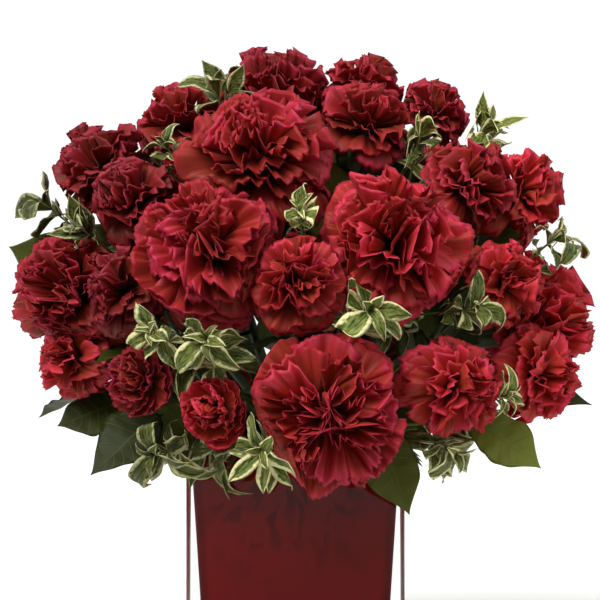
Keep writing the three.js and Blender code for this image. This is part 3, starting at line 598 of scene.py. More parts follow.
@dataclass
class Rosette:
    """The tip of a sprig: its place, and the low point where its twig straightens out."""

    row: RosetteRow
    low: Array = field(default_factory=lambda: np.zeros(3))

    def __post_init__(self) -> None:
        """Point the rosette away from the middle of the dome."""
        self.anchor = np.array(self.row.at, float)
        self.axis = unit(self.anchor - DOME_HEART)


@dataclass
class Sprig:
    """A twig that forks into its rosettes."""

    row: SprigRow
    fork_share: float = 0.55
    low_share: float = 0.35

    def __post_init__(self) -> None:
        """Work out the foot, the fork and the low point of each side twig."""
        self.rosettes = [Rosette(row) for row in self.row.rosettes]
        middle = np.mean([rosette.anchor for rosette in self.rosettes], axis=0)
        target = middle if self.row.fork is None else np.array(self.row.fork, float)
        self.foot, _ = root_of(target)
        straight = self.foot + (middle - self.foot) * self.fork_share
        self.fork = straight if self.row.fork is None else target
        for rosette in self.rosettes:
            rosette.low = self.fork + (rosette.anchor - self.fork) * self.low_share


def root_of(target: Array) -> tuple[Array, Array]:
    """Find where a stem stands in the foam.

    Args:
        target: The far end of the stem.

    Returns:
        The foot of the stem and the point where it leaves the foam.
    """
    foot = HEART + unit(target - HEART) * FOOT_REACH
    return foot, foot + unit(target - foot) * (EXIT_REACH - FOOT_REACH[0])


@dataclass
class Planting:
    """The whole arrangement's layout, and the fences between its pieces."""

    # How near things count as neighbours: blooms by their radii, and leaves in millimetres.
    bloom_near: float = 1.35
    twig_near: float = 1.9
    broad_near: float = 1.8
    leaf_near: float = 40.0
    leaves_near: float = 75.0
    # A bloom gives way to a leaf at this share of its radius, or where this much room is left.
    give_way: float = 0.96
    leaf_room: float = 4.0

    def __post_init__(self) -> None:
        """Place every bloom, sprig and leaf."""
        self.blooms = {name: Bloom(name, row) for name, row in BLOOM_ROWS.items()}
        self.sprigs = {name: Sprig(row) for name, row in SPRIG_ROWS.items()}
        self.tips = [tip for sprig in self.sprigs.values() for tip in sprig.rosettes]
        ends = [row.vectors[:2] for rows in BROAD_ROWS.values() for row in rows]
        self.broad_anchors = [(base + tip) / 2 for base, tip in ends]

    def border_reach(self, bloom: Bloom, anchor: Array) -> float:
        """Find how far from a head its border with a leaf near it lies.

        Args:
            bloom: The bloom.
            anchor: The middle of the leaf or rosette.

        Returns:
            The distance from the middle of the head.
        """
        distance = float(np.linalg.norm(bloom.head - anchor))
        return min(bloom.radius * self.give_way, distance - self.leaf_room)

    def between(self, bloom: Bloom, other: Bloom, overlap: float) -> Fence:
        """Set the fence on the first bloom's side of the space between two heads.

        Args:
            bloom: The bloom that the fence is for.
            other: Its neighbour.
            overlap: How far the two may run into each other.

        Returns:
            The fence.
        """
        share = bloom.radius / (bloom.radius + other.radius)
        meeting = bloom.head + (other.head - bloom.head) * share
        root = (bloom.exit + other.exit) / 2
        spine = unit(meeting - root)
        across = other.head - bloom.head
        normal = unit(across - spine * float(across @ spine))
        return Fence(normal, float(normal @ meeting) - FENCE_GAP + overlap)

    def bloom_fences(self, bloom: Bloom, partners: tuple[str, ...]) -> list[Fence]:
        """Collect the fences round one bloom.

        Args:
            bloom: The bloom.
            partners: The names of the blooms in the same piece.

        Returns:
            Its fences.
        """
        fences = []
        for other in self.blooms.values():
            distance = float(np.linalg.norm(bloom.head - other.head))
            if other is not bloom and distance < (bloom.radius + other.radius) * self.bloom_near:
                overlap = PRESSED if other.name in partners else YIELD
                fences.append(self.between(bloom, other, overlap))
        for tip in self.tips:
            if np.linalg.norm(tip.anchor - bloom.head) < bloom.radius * self.twig_near:
                spine = unit(tip.anchor - tip.low)
                away = tip.low - bloom.head
                normal = unit(away - spine * float(away @ spine))
                limit = float(normal @ tip.low) - TWIG_RADIUS - FENCE_GAP + PARTING
                fences.append(Fence(normal, limit))
                fences.append(self.under_leaves(bloom, tip.anchor))
        for anchor in self.broad_anchors:
            if np.linalg.norm(anchor - bloom.head) < bloom.radius * self.broad_near:
                fences.append(self.under_leaves(bloom, anchor))
        return fences

    def under_leaves(self, bloom: Bloom, anchor: Array) -> Fence:
        """Set the fence that keeps a bloom below the leaves at an anchor.

        Args:
            bloom: The bloom.
            anchor: The middle of the leaves.

        Returns:
            The fence.
        """
        normal = unit(anchor - bloom.head)
        reach = self.border_reach(bloom, anchor)
        return Fence(normal, float(normal @ bloom.head) + reach - FENCE_GAP)

    def leaf_fences(self, anchor: Array) -> list[Fence]:
        """Collect the fences round the leaves at one anchor.

        Args:
            anchor: The middle of the leaves.

        Returns:
            Their fences.
        """
        fences = []
        for bloom in self.blooms.values():
            if np.linalg.norm(anchor - bloom.head) < bloom.radius + self.leaf_near:
                normal = unit(bloom.head - anchor)
                reach = self.border_reach(bloom, anchor)
                fences.append(Fence(normal, float(normal @ bloom.head) - reach - FENCE_GAP))
        for other in [tip.anchor for tip in self.tips] + self.broad_anchors:
            if 1 < np.linalg.norm(other - anchor) < self.leaves_near:
                normal = unit(other - anchor)
                limit = float(normal @ (anchor + other)) / 2 - FENCE_GAP
                fences.append(Fence(normal, limit))
        return fences


def marks_over(reach: Array, across: Array | float, tint: float, tone: float) -> Marks:
    """Fill in the four marks that a petal, leaf or stalk gives its finish.

    Args:
        reach: How far up from its base each point lies.
        across: The place across it, from -1 to 1.
        tint: What sets it apart from its neighbours.
        tone: How bright it is.

    Returns:
        The marks, by name.
    """
    shape = np.broadcast(reach, across).shape
    values = {"reach": reach, "across": across, "tint": tint, "tone": tone}
    return {name: np.broadcast_to(value, shape) for name, value in values.items()}


def add_object(name: str, data: bpy.types.ID) -> Object:
    """Put an object in the scene.

    Args:
        name: Its name.
        data: Its mesh, lamp or camera.

    Returns:
        The object.
    """
    made = bpy.data.objects.new(name, data)
    bpy.context.collection.objects.link(made)
    return made


@dataclass
class Sheets:
    """Collects thin sheets and tubes, and turns them into one mesh."""

    places: list[Array] = field(default_factory=list)
    quads: list[Array] = field(default_factory=list)
    marks: dict[str, list[Array]] = field(default_factory=dict)
    count: int = 0

    def _keep(self, places: Array, quads: Array, marks: Marks) -> None:
        """Store one sheet or tube.

        Args:
            places: Its points.
            quads: Its faces, as four numbers of points each.
            marks: A number for each point, by name.
        """
        self.places.append(places)
        self.quads.append(quads + self.count)
        self.count += len(places)
        for name, values in marks.items():
            self.marks.setdefault(name, []).append(values)

    def add_sheet(self, grid: Array, thickness: float, marks: Marks) -> None:
        """Add a closed blade: two skins that meet along a thin edge.

        Args:
            grid: Points in rows and columns.
            thickness: How thick the blade is away from its edge.
            marks: A number for each point of the grid, by name.
        """
        rows, columns = grid.shape[:2]
        along = np.gradient(grid, axis=0)
        across = np.gradient(grid, axis=1)
        normal = np.cross(across, along)
        size = np.linalg.norm(normal, axis=2, keepdims=True)
        normal = normal / np.maximum(size, 1e-9) * thickness / 2
        normal[0] = normal[-1] = 0
        normal[:, 0] = normal[:, -1] = 0
        index = np.arange(rows * columns).reshape(rows, columns)
        under = index.copy()
        inner = (rows - 2) * (columns - 2)
        under[1:-1, 1:-1] = rows * columns + np.arange(inner).reshape(rows - 2, columns - 2)
        top = np.stack([index[:-1, :-1], index[:-1, 1:], index[1:, 1:], index[1:, :-1]], -1)
        bottom = np.stack([under[:-1, :-1], under[1:, :-1], under[1:, 1:], under[:-1, 1:]], -1)
        quads = np.concatenate([top.reshape(-1, 4), bottom.reshape(-1, 4)])
        below = (grid - normal)[1:-1, 1:-1].reshape(-1, 3)
        places = np.concatenate([(grid + normal).reshape(-1, 3), below])
        doubled = {
            name: np.concatenate([values.reshape(-1), values[1:-1, 1:-1].reshape(-1)])
            for name, values in marks.items()
        }
        self._keep(places, quads, doubled)

    def add_tube(self, path: Array, radii: Array, sides: int, marks: Marks) -> None:
        """Add a closed tube along a path.

        Args:
            path: The points that the tube follows.
            radii: Its radius at each point, or at each point and side.
            sides: How many sides it has.
            marks: A number for each point of the path, by name.
        """
        headings = np.gradient(path, axis=0)
        headings /= np.linalg.norm(headings, axis=1, keepdims=True)
        side = frame_across(headings[0])[0]
        turns = np.arange(sides) / sides * 2 * math.pi
        radii = np.broadcast_to(np.asarray(radii, float).reshape(len(path), -1), (len(path), sides))
        rings = []
        for place, heading, wide in zip(path, headings, radii):
            side = unit(side - heading * float(side @ heading))
            other = np.cross(heading, side)
            ring = np.cos(turns)[:, None] * side + np.sin(turns)[:, None] * other
            rings.append(place + ring * wide[:, None])
        count = len(path) * sides
        index = np.arange(count).reshape(len(path), sides)
        turned = np.roll(index, -1, axis=1)
        quads = np.stack([index[:-1], turned[:-1], turned[1:], index[1:]], -1).reshape(-1, 4)
        first, last = count, count + 1
        ends = [[first, turned[0, k], index[0, k], index[0, k]] for k in range(sides)]
        ends += [[last, index[-1, k], turned[-1, k], turned[-1, k]] for k in range(sides)]
        places = np.concatenate([np.concatenate(rings), path[:1], path[-1:]])
        spread = {
            name: np.concatenate([np.repeat(values, sides), values[:1], values[-1:]])
            for name, values in marks.items()
        }
        self._keep(places, np.concatenate([quads, np.array(ends)]), spread)

    def add_stalk(self, path: Array, radii: Array, sides: int, tone: float, across: float = 0.0) -> None:
        """Add a tube that takes a leaf's finish.

        Args:
            path: The points that it follows.
            radii: Its radius at each point.
            sides: How many sides it has.
            tone: How bright it is.
            across: The place across a leaf whose colour it takes.
        """
        self.add_tube(path, radii, sides, marks_over(np.zeros(len(path)), across, 0.0, tone))

    def to_object(self, name: str, material: Material) -> Object:
        """Make the mesh object.

        Args:
            name: The name of the piece.
            material: Its finish.

        Returns:
            The new object, in metres.
        """
        places = np.concatenate(self.places) * MM
        quads = np.concatenate(self.quads)
        faces = [tuple(face[:3]) if face[2] == face[3] else tuple(face) for face in quads.tolist()]
        mesh = bpy.data.meshes.new(name)
        mesh.from_pydata(places.tolist(), [], faces)
        mesh.polygons.foreach_set("use_smooth", [True] * len(mesh.polygons))
        for mark, values in self.marks.items():
            layer = mesh.attributes.new(mark, "FLOAT", "POINT")
            layer.data.foreach_set("value", np.concatenate(values).astype(np.float32))
        mesh.materials.append(material)
        mesh.validate()
        return add_object(name, mesh)


def settle(piece: Object, slot: str, *nodes: str) -> None:
    """Fix a piece to the object in place of its solids, and report it.

    Args:
        piece: The finished piece.
        slot: Not used.
        nodes: The solids that it stands for.
    """
    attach(piece, "root")
    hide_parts(*nodes)
    log.info("%s: %d faces for %s", piece.name, len(piece.data.polygons), ", ".join(nodes))


def srgb(code: int) -> Colour:
    """Turn an sRGB hex colour into linear light.

    Args:
        code: The colour as 0xRRGGBB.

    Returns:
        Linear red, green and blue, with full alpha.
    """
    shares = [((code >> shift) & 255) / 255 for shift in (16, 8, 0)]
    linear = [s / 12.92 if s <= 0.04045 else ((s + 0.055) / 1.055) ** 2.4 for s in shares]
    return linear[0], linear[1], linear[2], 1.0


def add_node(
    tree: Tree,
    kind: str,
    settings: dict[str, Any] | None = None,
    inputs: dict[Any, Any] | None = None,
) -> bpy.types.Node:
    """Add a node to a tree with its settings and its links.

    Args:
        tree: The node tree.
        kind: The node's type name, without the common beginning.
        settings: Values of the node's own options.
        inputs: For each input, by name or number, a value or the output that feeds it.

    Returns:
        The new node.
    """
    made = tree.nodes.new("ShaderNode" + kind)
    for name, value in (settings or {}).items():
        setattr(made, name, value)
    for name, value in (inputs or {}).items():
        if isinstance(value, Socket):
            tree.links.new(value, made.inputs[name])
        else:
            made.inputs[name].default_value = value
    return made


def mark(tree: Tree, name: str) -> Socket:
    """Read a number that the mesh carries at each of its points."""
    return add_node(tree, "Attribute", {"attribute_name": name}).outputs["Fac"]


def calc(tree: Tree, operation: str, *values: float | Socket) -> Socket:
    """Add one step of arithmetic.

    Args:
        tree: The node tree.
        operation: The step, by the name that the Math node has for it.
        values: The numbers that it works on, or the outputs that feed them.

    Returns:
        Its result.
    """
    return add_node(tree, "Math", {"operation": operation}, dict(enumerate(values))).outputs[0]


def ramp(tree: Tree, value: Socket, *limits: float, smooth: bool = False) -> Socket:
    """Map a value from one range to another, and stop at the ends.

    Args:
        tree: The node tree.
        value: The value.
        limits: Where the first range starts and ends, and then the second; each is 0 to 1 if left out.
        smooth: Whether it eases in and out.

    Returns:
        The value in the second range.
    """
    settings = {"interpolation_type": "SMOOTHSTEP"} if smooth else {}
    return add_node(tree, "MapRange", settings, dict(enumerate((value, *limits)))).outputs[0]


def blend(tree: Tree, share: Socket, first: Socket | Colour, second: Socket | Colour) -> Socket:
    """Mix two colours.

    Args:
        tree: The node tree.
        share: How much of the second is in the mix.
        first: A colour, or the output that feeds it.
        second: The other one.

    Returns:
        The mixed colour.
    """
    return add_node(tree, "Mix", {"data_type": "RGBA"}, {0: share, 6: first, 7: second}).outputs[2]


def shaded(tree: Tree, colour: Socket, value: Socket, hue: float | Socket = 0.5) -> Socket:
    """Brighten, darken or turn a colour.

    Args:
        tree: The node tree.
        colour: The colour.
        value: What its brightness is multiplied by.
        hue: How far its hue turns, where 0.5 leaves it as it is.

    Returns:
        The new colour.
    """
    return add_node(tree, "HueSaturation", None, {"Hue": hue, "Value": value, "Color": colour}).outputs[0]


def noise(tree: Tree, place: Socket, scale: float, detail: float, distortion: float = 0.0) -> Socket:
    """Add soft random patches.

    Args:
        tree: The node tree.
        place: Where they are looked up.
        scale: How many there are to a unit of length.
        detail: How many finer layers they have.
        distortion: How far they are stirred.

    Returns:
        A value about 0.5.
    """
    inputs = {"Vector": place, "Scale": scale, "Detail": detail, "Distortion": distortion}
    return add_node(tree, "TexNoise", None, inputs).outputs[0]


def own_place(tree: Tree) -> Socket:
    """Give the place on the piece, in metres."""
    return add_node(tree, "TexCoord").outputs["Object"]


def relief(tree: Tree, height: Socket, strength: float, depth: float) -> Socket:
    """Turn a height into slanted normals.

    Args:
        tree: The node tree.
        height: The height, from 0 to 1.
        strength: How much of it shows.
        depth: What a height of 1 stands for, in metres.

    Returns:
        The normals.
    """
    inputs = {"Strength": strength, "Distance": depth, "Height": height}
    return add_node(tree, "Bump", None, inputs).outputs[0]


def start_finish(name: str) -> tuple[Material, Tree]:
    """Make an empty material.

    Args:
        name: Its name.

    Returns:
        The material and its node tree.
    """
    material = bpy.data.materials.new(name)
    material.use_nodes = True
    material.node_tree.nodes.clear()
    return material, material.node_tree


def end_finish(material: Material, inputs: dict[str, Any]) -> Material:
    """Give a material its surface.

    Args:
        material: The material.
        inputs: What the surface is made of, by the names of the shader's inputs.

    Returns:
        The material, now complete.
    """
    tree = material.node_tree
    skin = add_node(tree, "BsdfPrincipled", None, inputs)
    add_node(tree, "OutputMaterial", None, {"Surface": skin.outputs[0]})
    return material


@dataclass(frozen=True)
class VelvetPetal:
    """Crimson carnation petal: a thin living blade with a velvety skin of tiny raised cells."""

    throat_shade: int = 0x603522
    body: int = 0xA73126
    margin_highlight: int = 0xC4283E
    fuzz: int = 0xFF8488
    half_width_mm: float = 17.5
    streak_mm: float = 0.9
    vein_depth: float = 0.0004

    def build(self) -> Material:
        """Make the finish: painted shade at the throat, a paler margin with painted highlight at the
        toothed edge, finely veined.

        Returns:
            The material.
        """
        material, tree = start_finish("carnation_petal")
        reach, across, tint, tone = (mark(tree, name) for name in ("reach", "across", "tint", "tone"))
        # Painted shade: the colour darkens towards the throat, where the petals shade each other.
        throat_shaded = blend(tree, ramp(tree, reach, 0.15, 0.72, smooth=True), srgb(self.throat_shade), srgb(self.body))
        # The paler margin is partly the petal's own colour and partly painted highlight, where the toothed
        # edges catch the light.
        edge = ramp(tree, reach, 0.8, 1.0, 0.0, 0.75, smooth=True)
        margin_highlit = blend(tree, edge, throat_shaded, srgb(self.margin_highlight))
        # Veins run up the petal in a fan, so they are looked up by the share across it.
        fine = calc(tree, "MULTIPLY", across, self.half_width_mm / self.streak_mm)
        slow = calc(tree, "MULTIPLY", reach, 3.0)
        own = calc(tree, "MULTIPLY", tint, 90.0)
        place = add_node(tree, "CombineXYZ", None, {0: fine, 1: slow, 2: own}).outputs[0]
        veins = noise(tree, place, 1.0, 3.0)
        # Each bloom has its own depth of red, which is also painted light and shade for how the bloom is
        # lit; each petal a little more, and its veins shade it lightly.
        shade = ramp(tree, tint, 0.0, 1.0, 0.72, 1.18)
        light = ramp(tree, veins, 0.3, 0.7, 0.8, 1.16)
        depth = ramp(tree, tone, 0.0, 1.0, 0.4, 1.6)
        value = calc(tree, "MULTIPLY", calc(tree, "MULTIPLY", shade, light), depth)
        # Some petals lean a little to orange, and others to crimson.
        hue = ramp(tree, tint, 0.0, 1.0, 0.506, 0.493)
        inputs = {
            "Base Color": shaded(tree, margin_highlit, value, hue),
            "Roughness": 0.5,
            "Specular IOR Level": 0.25,
            "Sheen Weight": 0.08,
            "Sheen Roughness": 0.4,
            "Sheen Tint": srgb(self.fuzz),
            "Subsurface Weight": 0.12,
            "Subsurface Radius": (1.0, 0.12, 0.1),
            "Subsurface Scale": 0.001,
            "Normal": relief(tree, veins, 0.35, self.vein_depth),
        }
        return end_finish(material, inputs)


@dataclass(frozen=True)
class VariegatedLeaf:
    """Leaf of a cream-edged shrub: a waxy skin, green along the rib and cream at the margin."""

    heart: int = 0x2B3A12
    field_green: int = 0x848C44
    cream: int = 0xE0DCA0
    patch_mm: float = 4.0
    # About ten side veins on each half of a leaf: ten whole turns of a wave.
    vein_turn: float = 63.0
    sweep: float = -9.0
    vein_depth: float = 0.0003

    def build(self) -> Material:
        """Make the finish: two greens in streaks, with an uneven cream edge.

        Returns:
            The material.
        """
        material, tree = start_finish("variegated_leaf")
        along, across, tint, tone = (mark(tree, name) for name in ("reach", "across", "tint", "tone"))
        patches = noise(tree, own_place(tree), 1000.0 / self.patch_mm, 2.0)
        side = calc(tree, "ABSOLUTE", across)
        moved = calc(tree, "ADD", side, ramp(tree, patches, 0.3, 0.7, -0.16, 0.16))
        # Some leaves have a broad margin and some a narrow one, and it closes round the tip.
        moved = calc(tree, "ADD", moved, ramp(tree, tint, 0.0, 1.0, -0.16, 0.12))
        outer = calc(tree, "ADD", moved, ramp(tree, along, 0.75, 1.0, 0.0, 0.35))
        edge = ramp(tree, outer, 0.6, 0.8, smooth=True)
        # Pale streaks leave the rib and run on towards the tip.
        wide = calc(tree, "MULTIPLY", across, 3.4)
        long = calc(tree, "MULTIPLY_ADD", along, 3.0, side)
        own = calc(tree, "MULTIPLY", tint, 70.0)
        run = add_node(tree, "CombineXYZ", None, {0: wide, 1: long, 2: own}).outputs[0]
        pale = ramp(tree, noise(tree, run, 1.6, 3.0), 0.36, 0.64)
        greens = blend(tree, pale, srgb(self.heart), srgb(self.field_green))
        leaf = blend(tree, edge, greens, srgb(self.cream))
        shade = ramp(tree, tint, 0.0, 1.0, 0.82, 1.1)
        # The tone mark scales each rosette's brightness: painted light and painted shade for how it is
        # lit.
        value = calc(tree, "MULTIPLY", shade, ramp(tree, tone, 0.0, 1.0, 0.55, 1.25))
        steps = calc(tree, "MULTIPLY", along, self.vein_turn)
        ridges = calc(tree, "SINE", calc(tree, "MULTIPLY_ADD", side, self.sweep, steps))
        inputs = {
            "Base Color": shaded(tree, leaf, value),
            "Roughness": 0.45,
            "Specular IOR Level": 0.18,
            "Subsurface Weight": 0.08,
            "Subsurface Radius": (0.4, 1.0, 0.2),
            "Subsurface Scale": 0.0008,
            "Normal": relief(tree, ridges, 0.3, self.vein_depth),
        }
        return end_finish(material, inputs)


@dataclass(frozen=True)
class LeatheryLeaf:
    """Broad evergreen leaf: a leathery, half-glossy skin with a pale rib and side veins."""

    dark: int = 0x1F250A
    light: int = 0x323910
    olive: int = 0x6E7626
    vein: int = 0x626834
    length_mm: float = 55.0
    vein_mm: float = 6.0
    sweep: float = -9.0
    mottles_a_metre: float = 90.0
    vein_depth: float = 0.0005

    def build(self) -> Material:
        """Make the finish: dark green with lighter veins that also stand up a little.

        Returns:
            The material.
        """
        material, tree = start_finish("leathery_leaf")
        along, across, olive_and_painted_light = (mark(tree, name) for name in ("reach", "across", "tone"))
        side = calc(tree, "ABSOLUTE", across)
        # The side veins leave the rib at even steps, swept towards the tip.
        steps = calc(tree, "MULTIPLY", along, 2 * math.pi * self.length_mm / self.vein_mm)
        wave = calc(tree, "COSINE", calc(tree, "MULTIPLY_ADD", side, self.sweep, steps))
        ribs = ramp(tree, wave, 0.86, 1.0, smooth=True)
        midrib = ramp(tree, side, 0.07, 0.0, smooth=True)
        veins = calc(tree, "MAXIMUM", ribs, midrib)
        mottle = noise(tree, own_place(tree), self.mottles_a_metre, 4.0)
        dark_mottled = blend(tree, mottle, srgb(self.dark), srgb(self.light))
        # Blending towards olive is partly the leaf's own colour and partly painted light and shade, leaf
        # by leaf.
        base = blend(tree, olive_and_painted_light, dark_mottled, srgb(self.olive))
        inputs = {
            "Base Color": blend(tree, calc(tree, "MULTIPLY", veins, 0.3), base, srgb(self.vein)),
            "Roughness": 0.5,
            "Specular IOR Level": 0.18,
            "Normal": relief(tree, veins, 0.4, self.vein_depth),
        }
        return end_finish(material, inputs)


@dataclass(frozen=True)
class WaxyStem:
    """Carnation stem and cup: green under a thin grey bloom of wax."""

    green: int = 0x33451F
    wax: int = 0x5F7048
    blotch_mm: float = 5.0
    wax_depth: float = 0.0003

    def build(self) -> Material:
        """Make the finish: matt grey-green with patches where the wax is rubbed.

        Returns:
            The material.
        """
        material, tree = start_finish("waxy_stem")
        blotch = noise(tree, own_place(tree), 1000.0 / self.blotch_mm, 4.0)
        inputs = {
            "Base Color": blend(tree, blotch, srgb(self.green), srgb(self.wax)),
            "Roughness": 0.6,
            "Normal": relief(tree, blotch, 0.2, self.wax_depth),
        }
        return end_finish(material, inputs)


@dataclass(frozen=True)
class ClearGlass:
    """Pressed soda-lime glass, fire-polished: clear, with the faintest grey-green cast."""

    cast: int = 0xF4F8F6
    ior: float = 1.5
    wave_mm: float = 40.0
    wave_depth: float = 0.0005

    def build(self) -> Material:
        """Make the finish, with slight waves left by the mould.

        Returns:
            The material.
        """
        material, tree = start_finish("clear_soda_lime_glass")
        waves = noise(tree, own_place(tree), 1000.0 / self.wave_mm, 1.0)
        inputs = {
            "Base Color": srgb(self.cast),
            "Roughness": 0.01,
            "IOR": self.ior,
            "Transmission Weight": 1.0,
            "Normal": relief(tree, waves, 0.05, self.wave_depth),
        }
        return end_finish(material, inputs)


@dataclass(frozen=True)
class RubyGlass:
    """Dark ruby glass fused inside the clear: nearly opaque, with faint painted shadows of the foliage
    behind it.
    """

    ruby: int = 0x83130F
    shadow: int = 0x640C08
    half_width: float = 0.0575
    fan_shift: float = 0.004
    rim: float = 0.113

    def build(self) -> Material:
        """Make the finish: glossy dark red, with faint leaf-shaped streaks of painted shadow that fan down
        from the rim.

        Returns:
            The material.
        """
        material, tree = start_finish("fused_ruby_glass")
        x, y, z = add_node(tree, "SeparateXYZ", None, {0: own_place(tree)}).outputs
        # The way round the vase, folded into one quarter, gives the place across any of its sides.
        bearing = calc(tree, "ARCTAN2", y, x)
        folded = calc(tree, "MODULO", calc(tree, "ADD", bearing, 2.25 * math.pi), math.pi / 2)
        slope = calc(tree, "TANGENT", calc(tree, "SUBTRACT", folded, math.pi / 4))
        across = calc(tree, "MULTIPLY_ADD", slope, self.half_width, self.fan_shift)
        drop = calc(tree, "SUBTRACT", self.rim, z)
        fan = calc(tree, "ARCTAN2", across, drop)
        flat = add_node(tree, "CombineXYZ", None, {0: across, 1: drop}).outputs[0]
        reach = add_node(tree, "VectorMath", {"operation": "LENGTH"}, {0: flat}).outputs[1]
        turned, stretched = calc(tree, "MULTIPLY", fan, 3.6), calc(tree, "MULTIPLY", reach, 42.0)
        place = add_node(tree, "CombineXYZ", None, {0: turned, 1: stretched, 2: bearing}).outputs[0]
        # Painted shadow: darker leaf-shaped streaks for the foliage behind the glass.
        leaf_shadow_streaks = ramp(tree, noise(tree, place, 1.5, 1.5, 0.5), 0.48, 0.64, smooth=True)
        painted_leaf_shadow = calc(tree, "MULTIPLY", leaf_shadow_streaks, ramp(tree, reach, 0.036, 0.078, 1.0, 0.0))
        mixed = blend(tree, painted_leaf_shadow, srgb(self.ruby), srgb(self.shadow))
        # Painted light makes the layer brighter towards the rim, against the shade of the blooms above it.
        # Painted shade darkens the corners, where the layer is seen edge-on, through more of it.
        painted_rim_light = ramp(tree, drop, 0.0, 0.095, 1.62, 0.9, smooth=True)
        corner = ramp(tree, calc(tree, "ABSOLUTE", slope), 0.88, 0.98, 1.0, 0.5, smooth=True)
        inputs = {
            "Base Color": shaded(tree, mixed, calc(tree, "MULTIPLY", painted_rim_light, corner)),
            "Roughness": 0.3,
            # It is fused to the clear glass, so almost no light turns back between the two.
            "Specular IOR Level": 0.05,
        }
        return end_finish(material, inputs)


@dataclass(frozen=True)
class WetFoam:
    """Floral foam soaked with water: dark green, full of fine open cells."""

    wet: int = 0x223F26
    dry: int = 0x3C6140
    cell_mm: float = 1.2
    patches_a_metre: float = 40.0
    cell_depth: float = 0.0006

    def build(self) -> Material:
        """Make the finish. Real cells are about 0.3 mm and are drawn coarser, so that they show.

        Returns:
            The material.
        """
        material, tree = start_finish("wet_floral_foam")
        where = own_place(tree)
        cells = add_node(tree, "TexVoronoi", None, {"Vector": where, "Scale": 1000.0 / self.cell_mm})
        patches = noise(tree, where, self.patches_a_metre, 3.0)
        inputs = {
            "Base Color": blend(tree, patches, srgb(self.wet), srgb(self.dry)),
            "Roughness": 0.85,
            "Normal": relief(tree, cells.outputs[0], 0.6, self.cell_depth),
        }
        return end_finish(material, inputs)


@dataclass(frozen=True)
class PaintedFloor:
    """Matt white studio floor: painted board with the softest unevenness."""

    paint: int = 0xF6F6F4
    dimples_a_metre: float = 300.0
    roller_depth: float = 0.0005

    def build(self) -> Material:
        """Make the finish.

        Returns:
            The material.
        """
        material, tree = start_finish("painted_studio_floor")
        roller = noise(tree, own_place(tree), self.dimples_a_metre, 2.0)
        inputs = {
            "Base Color": srgb(self.paint),
            "Roughness": 0.8,
            "Normal": relief(tree, roller, 0.05, self.roller_depth),
        }
        return end_finish(material, inputs)


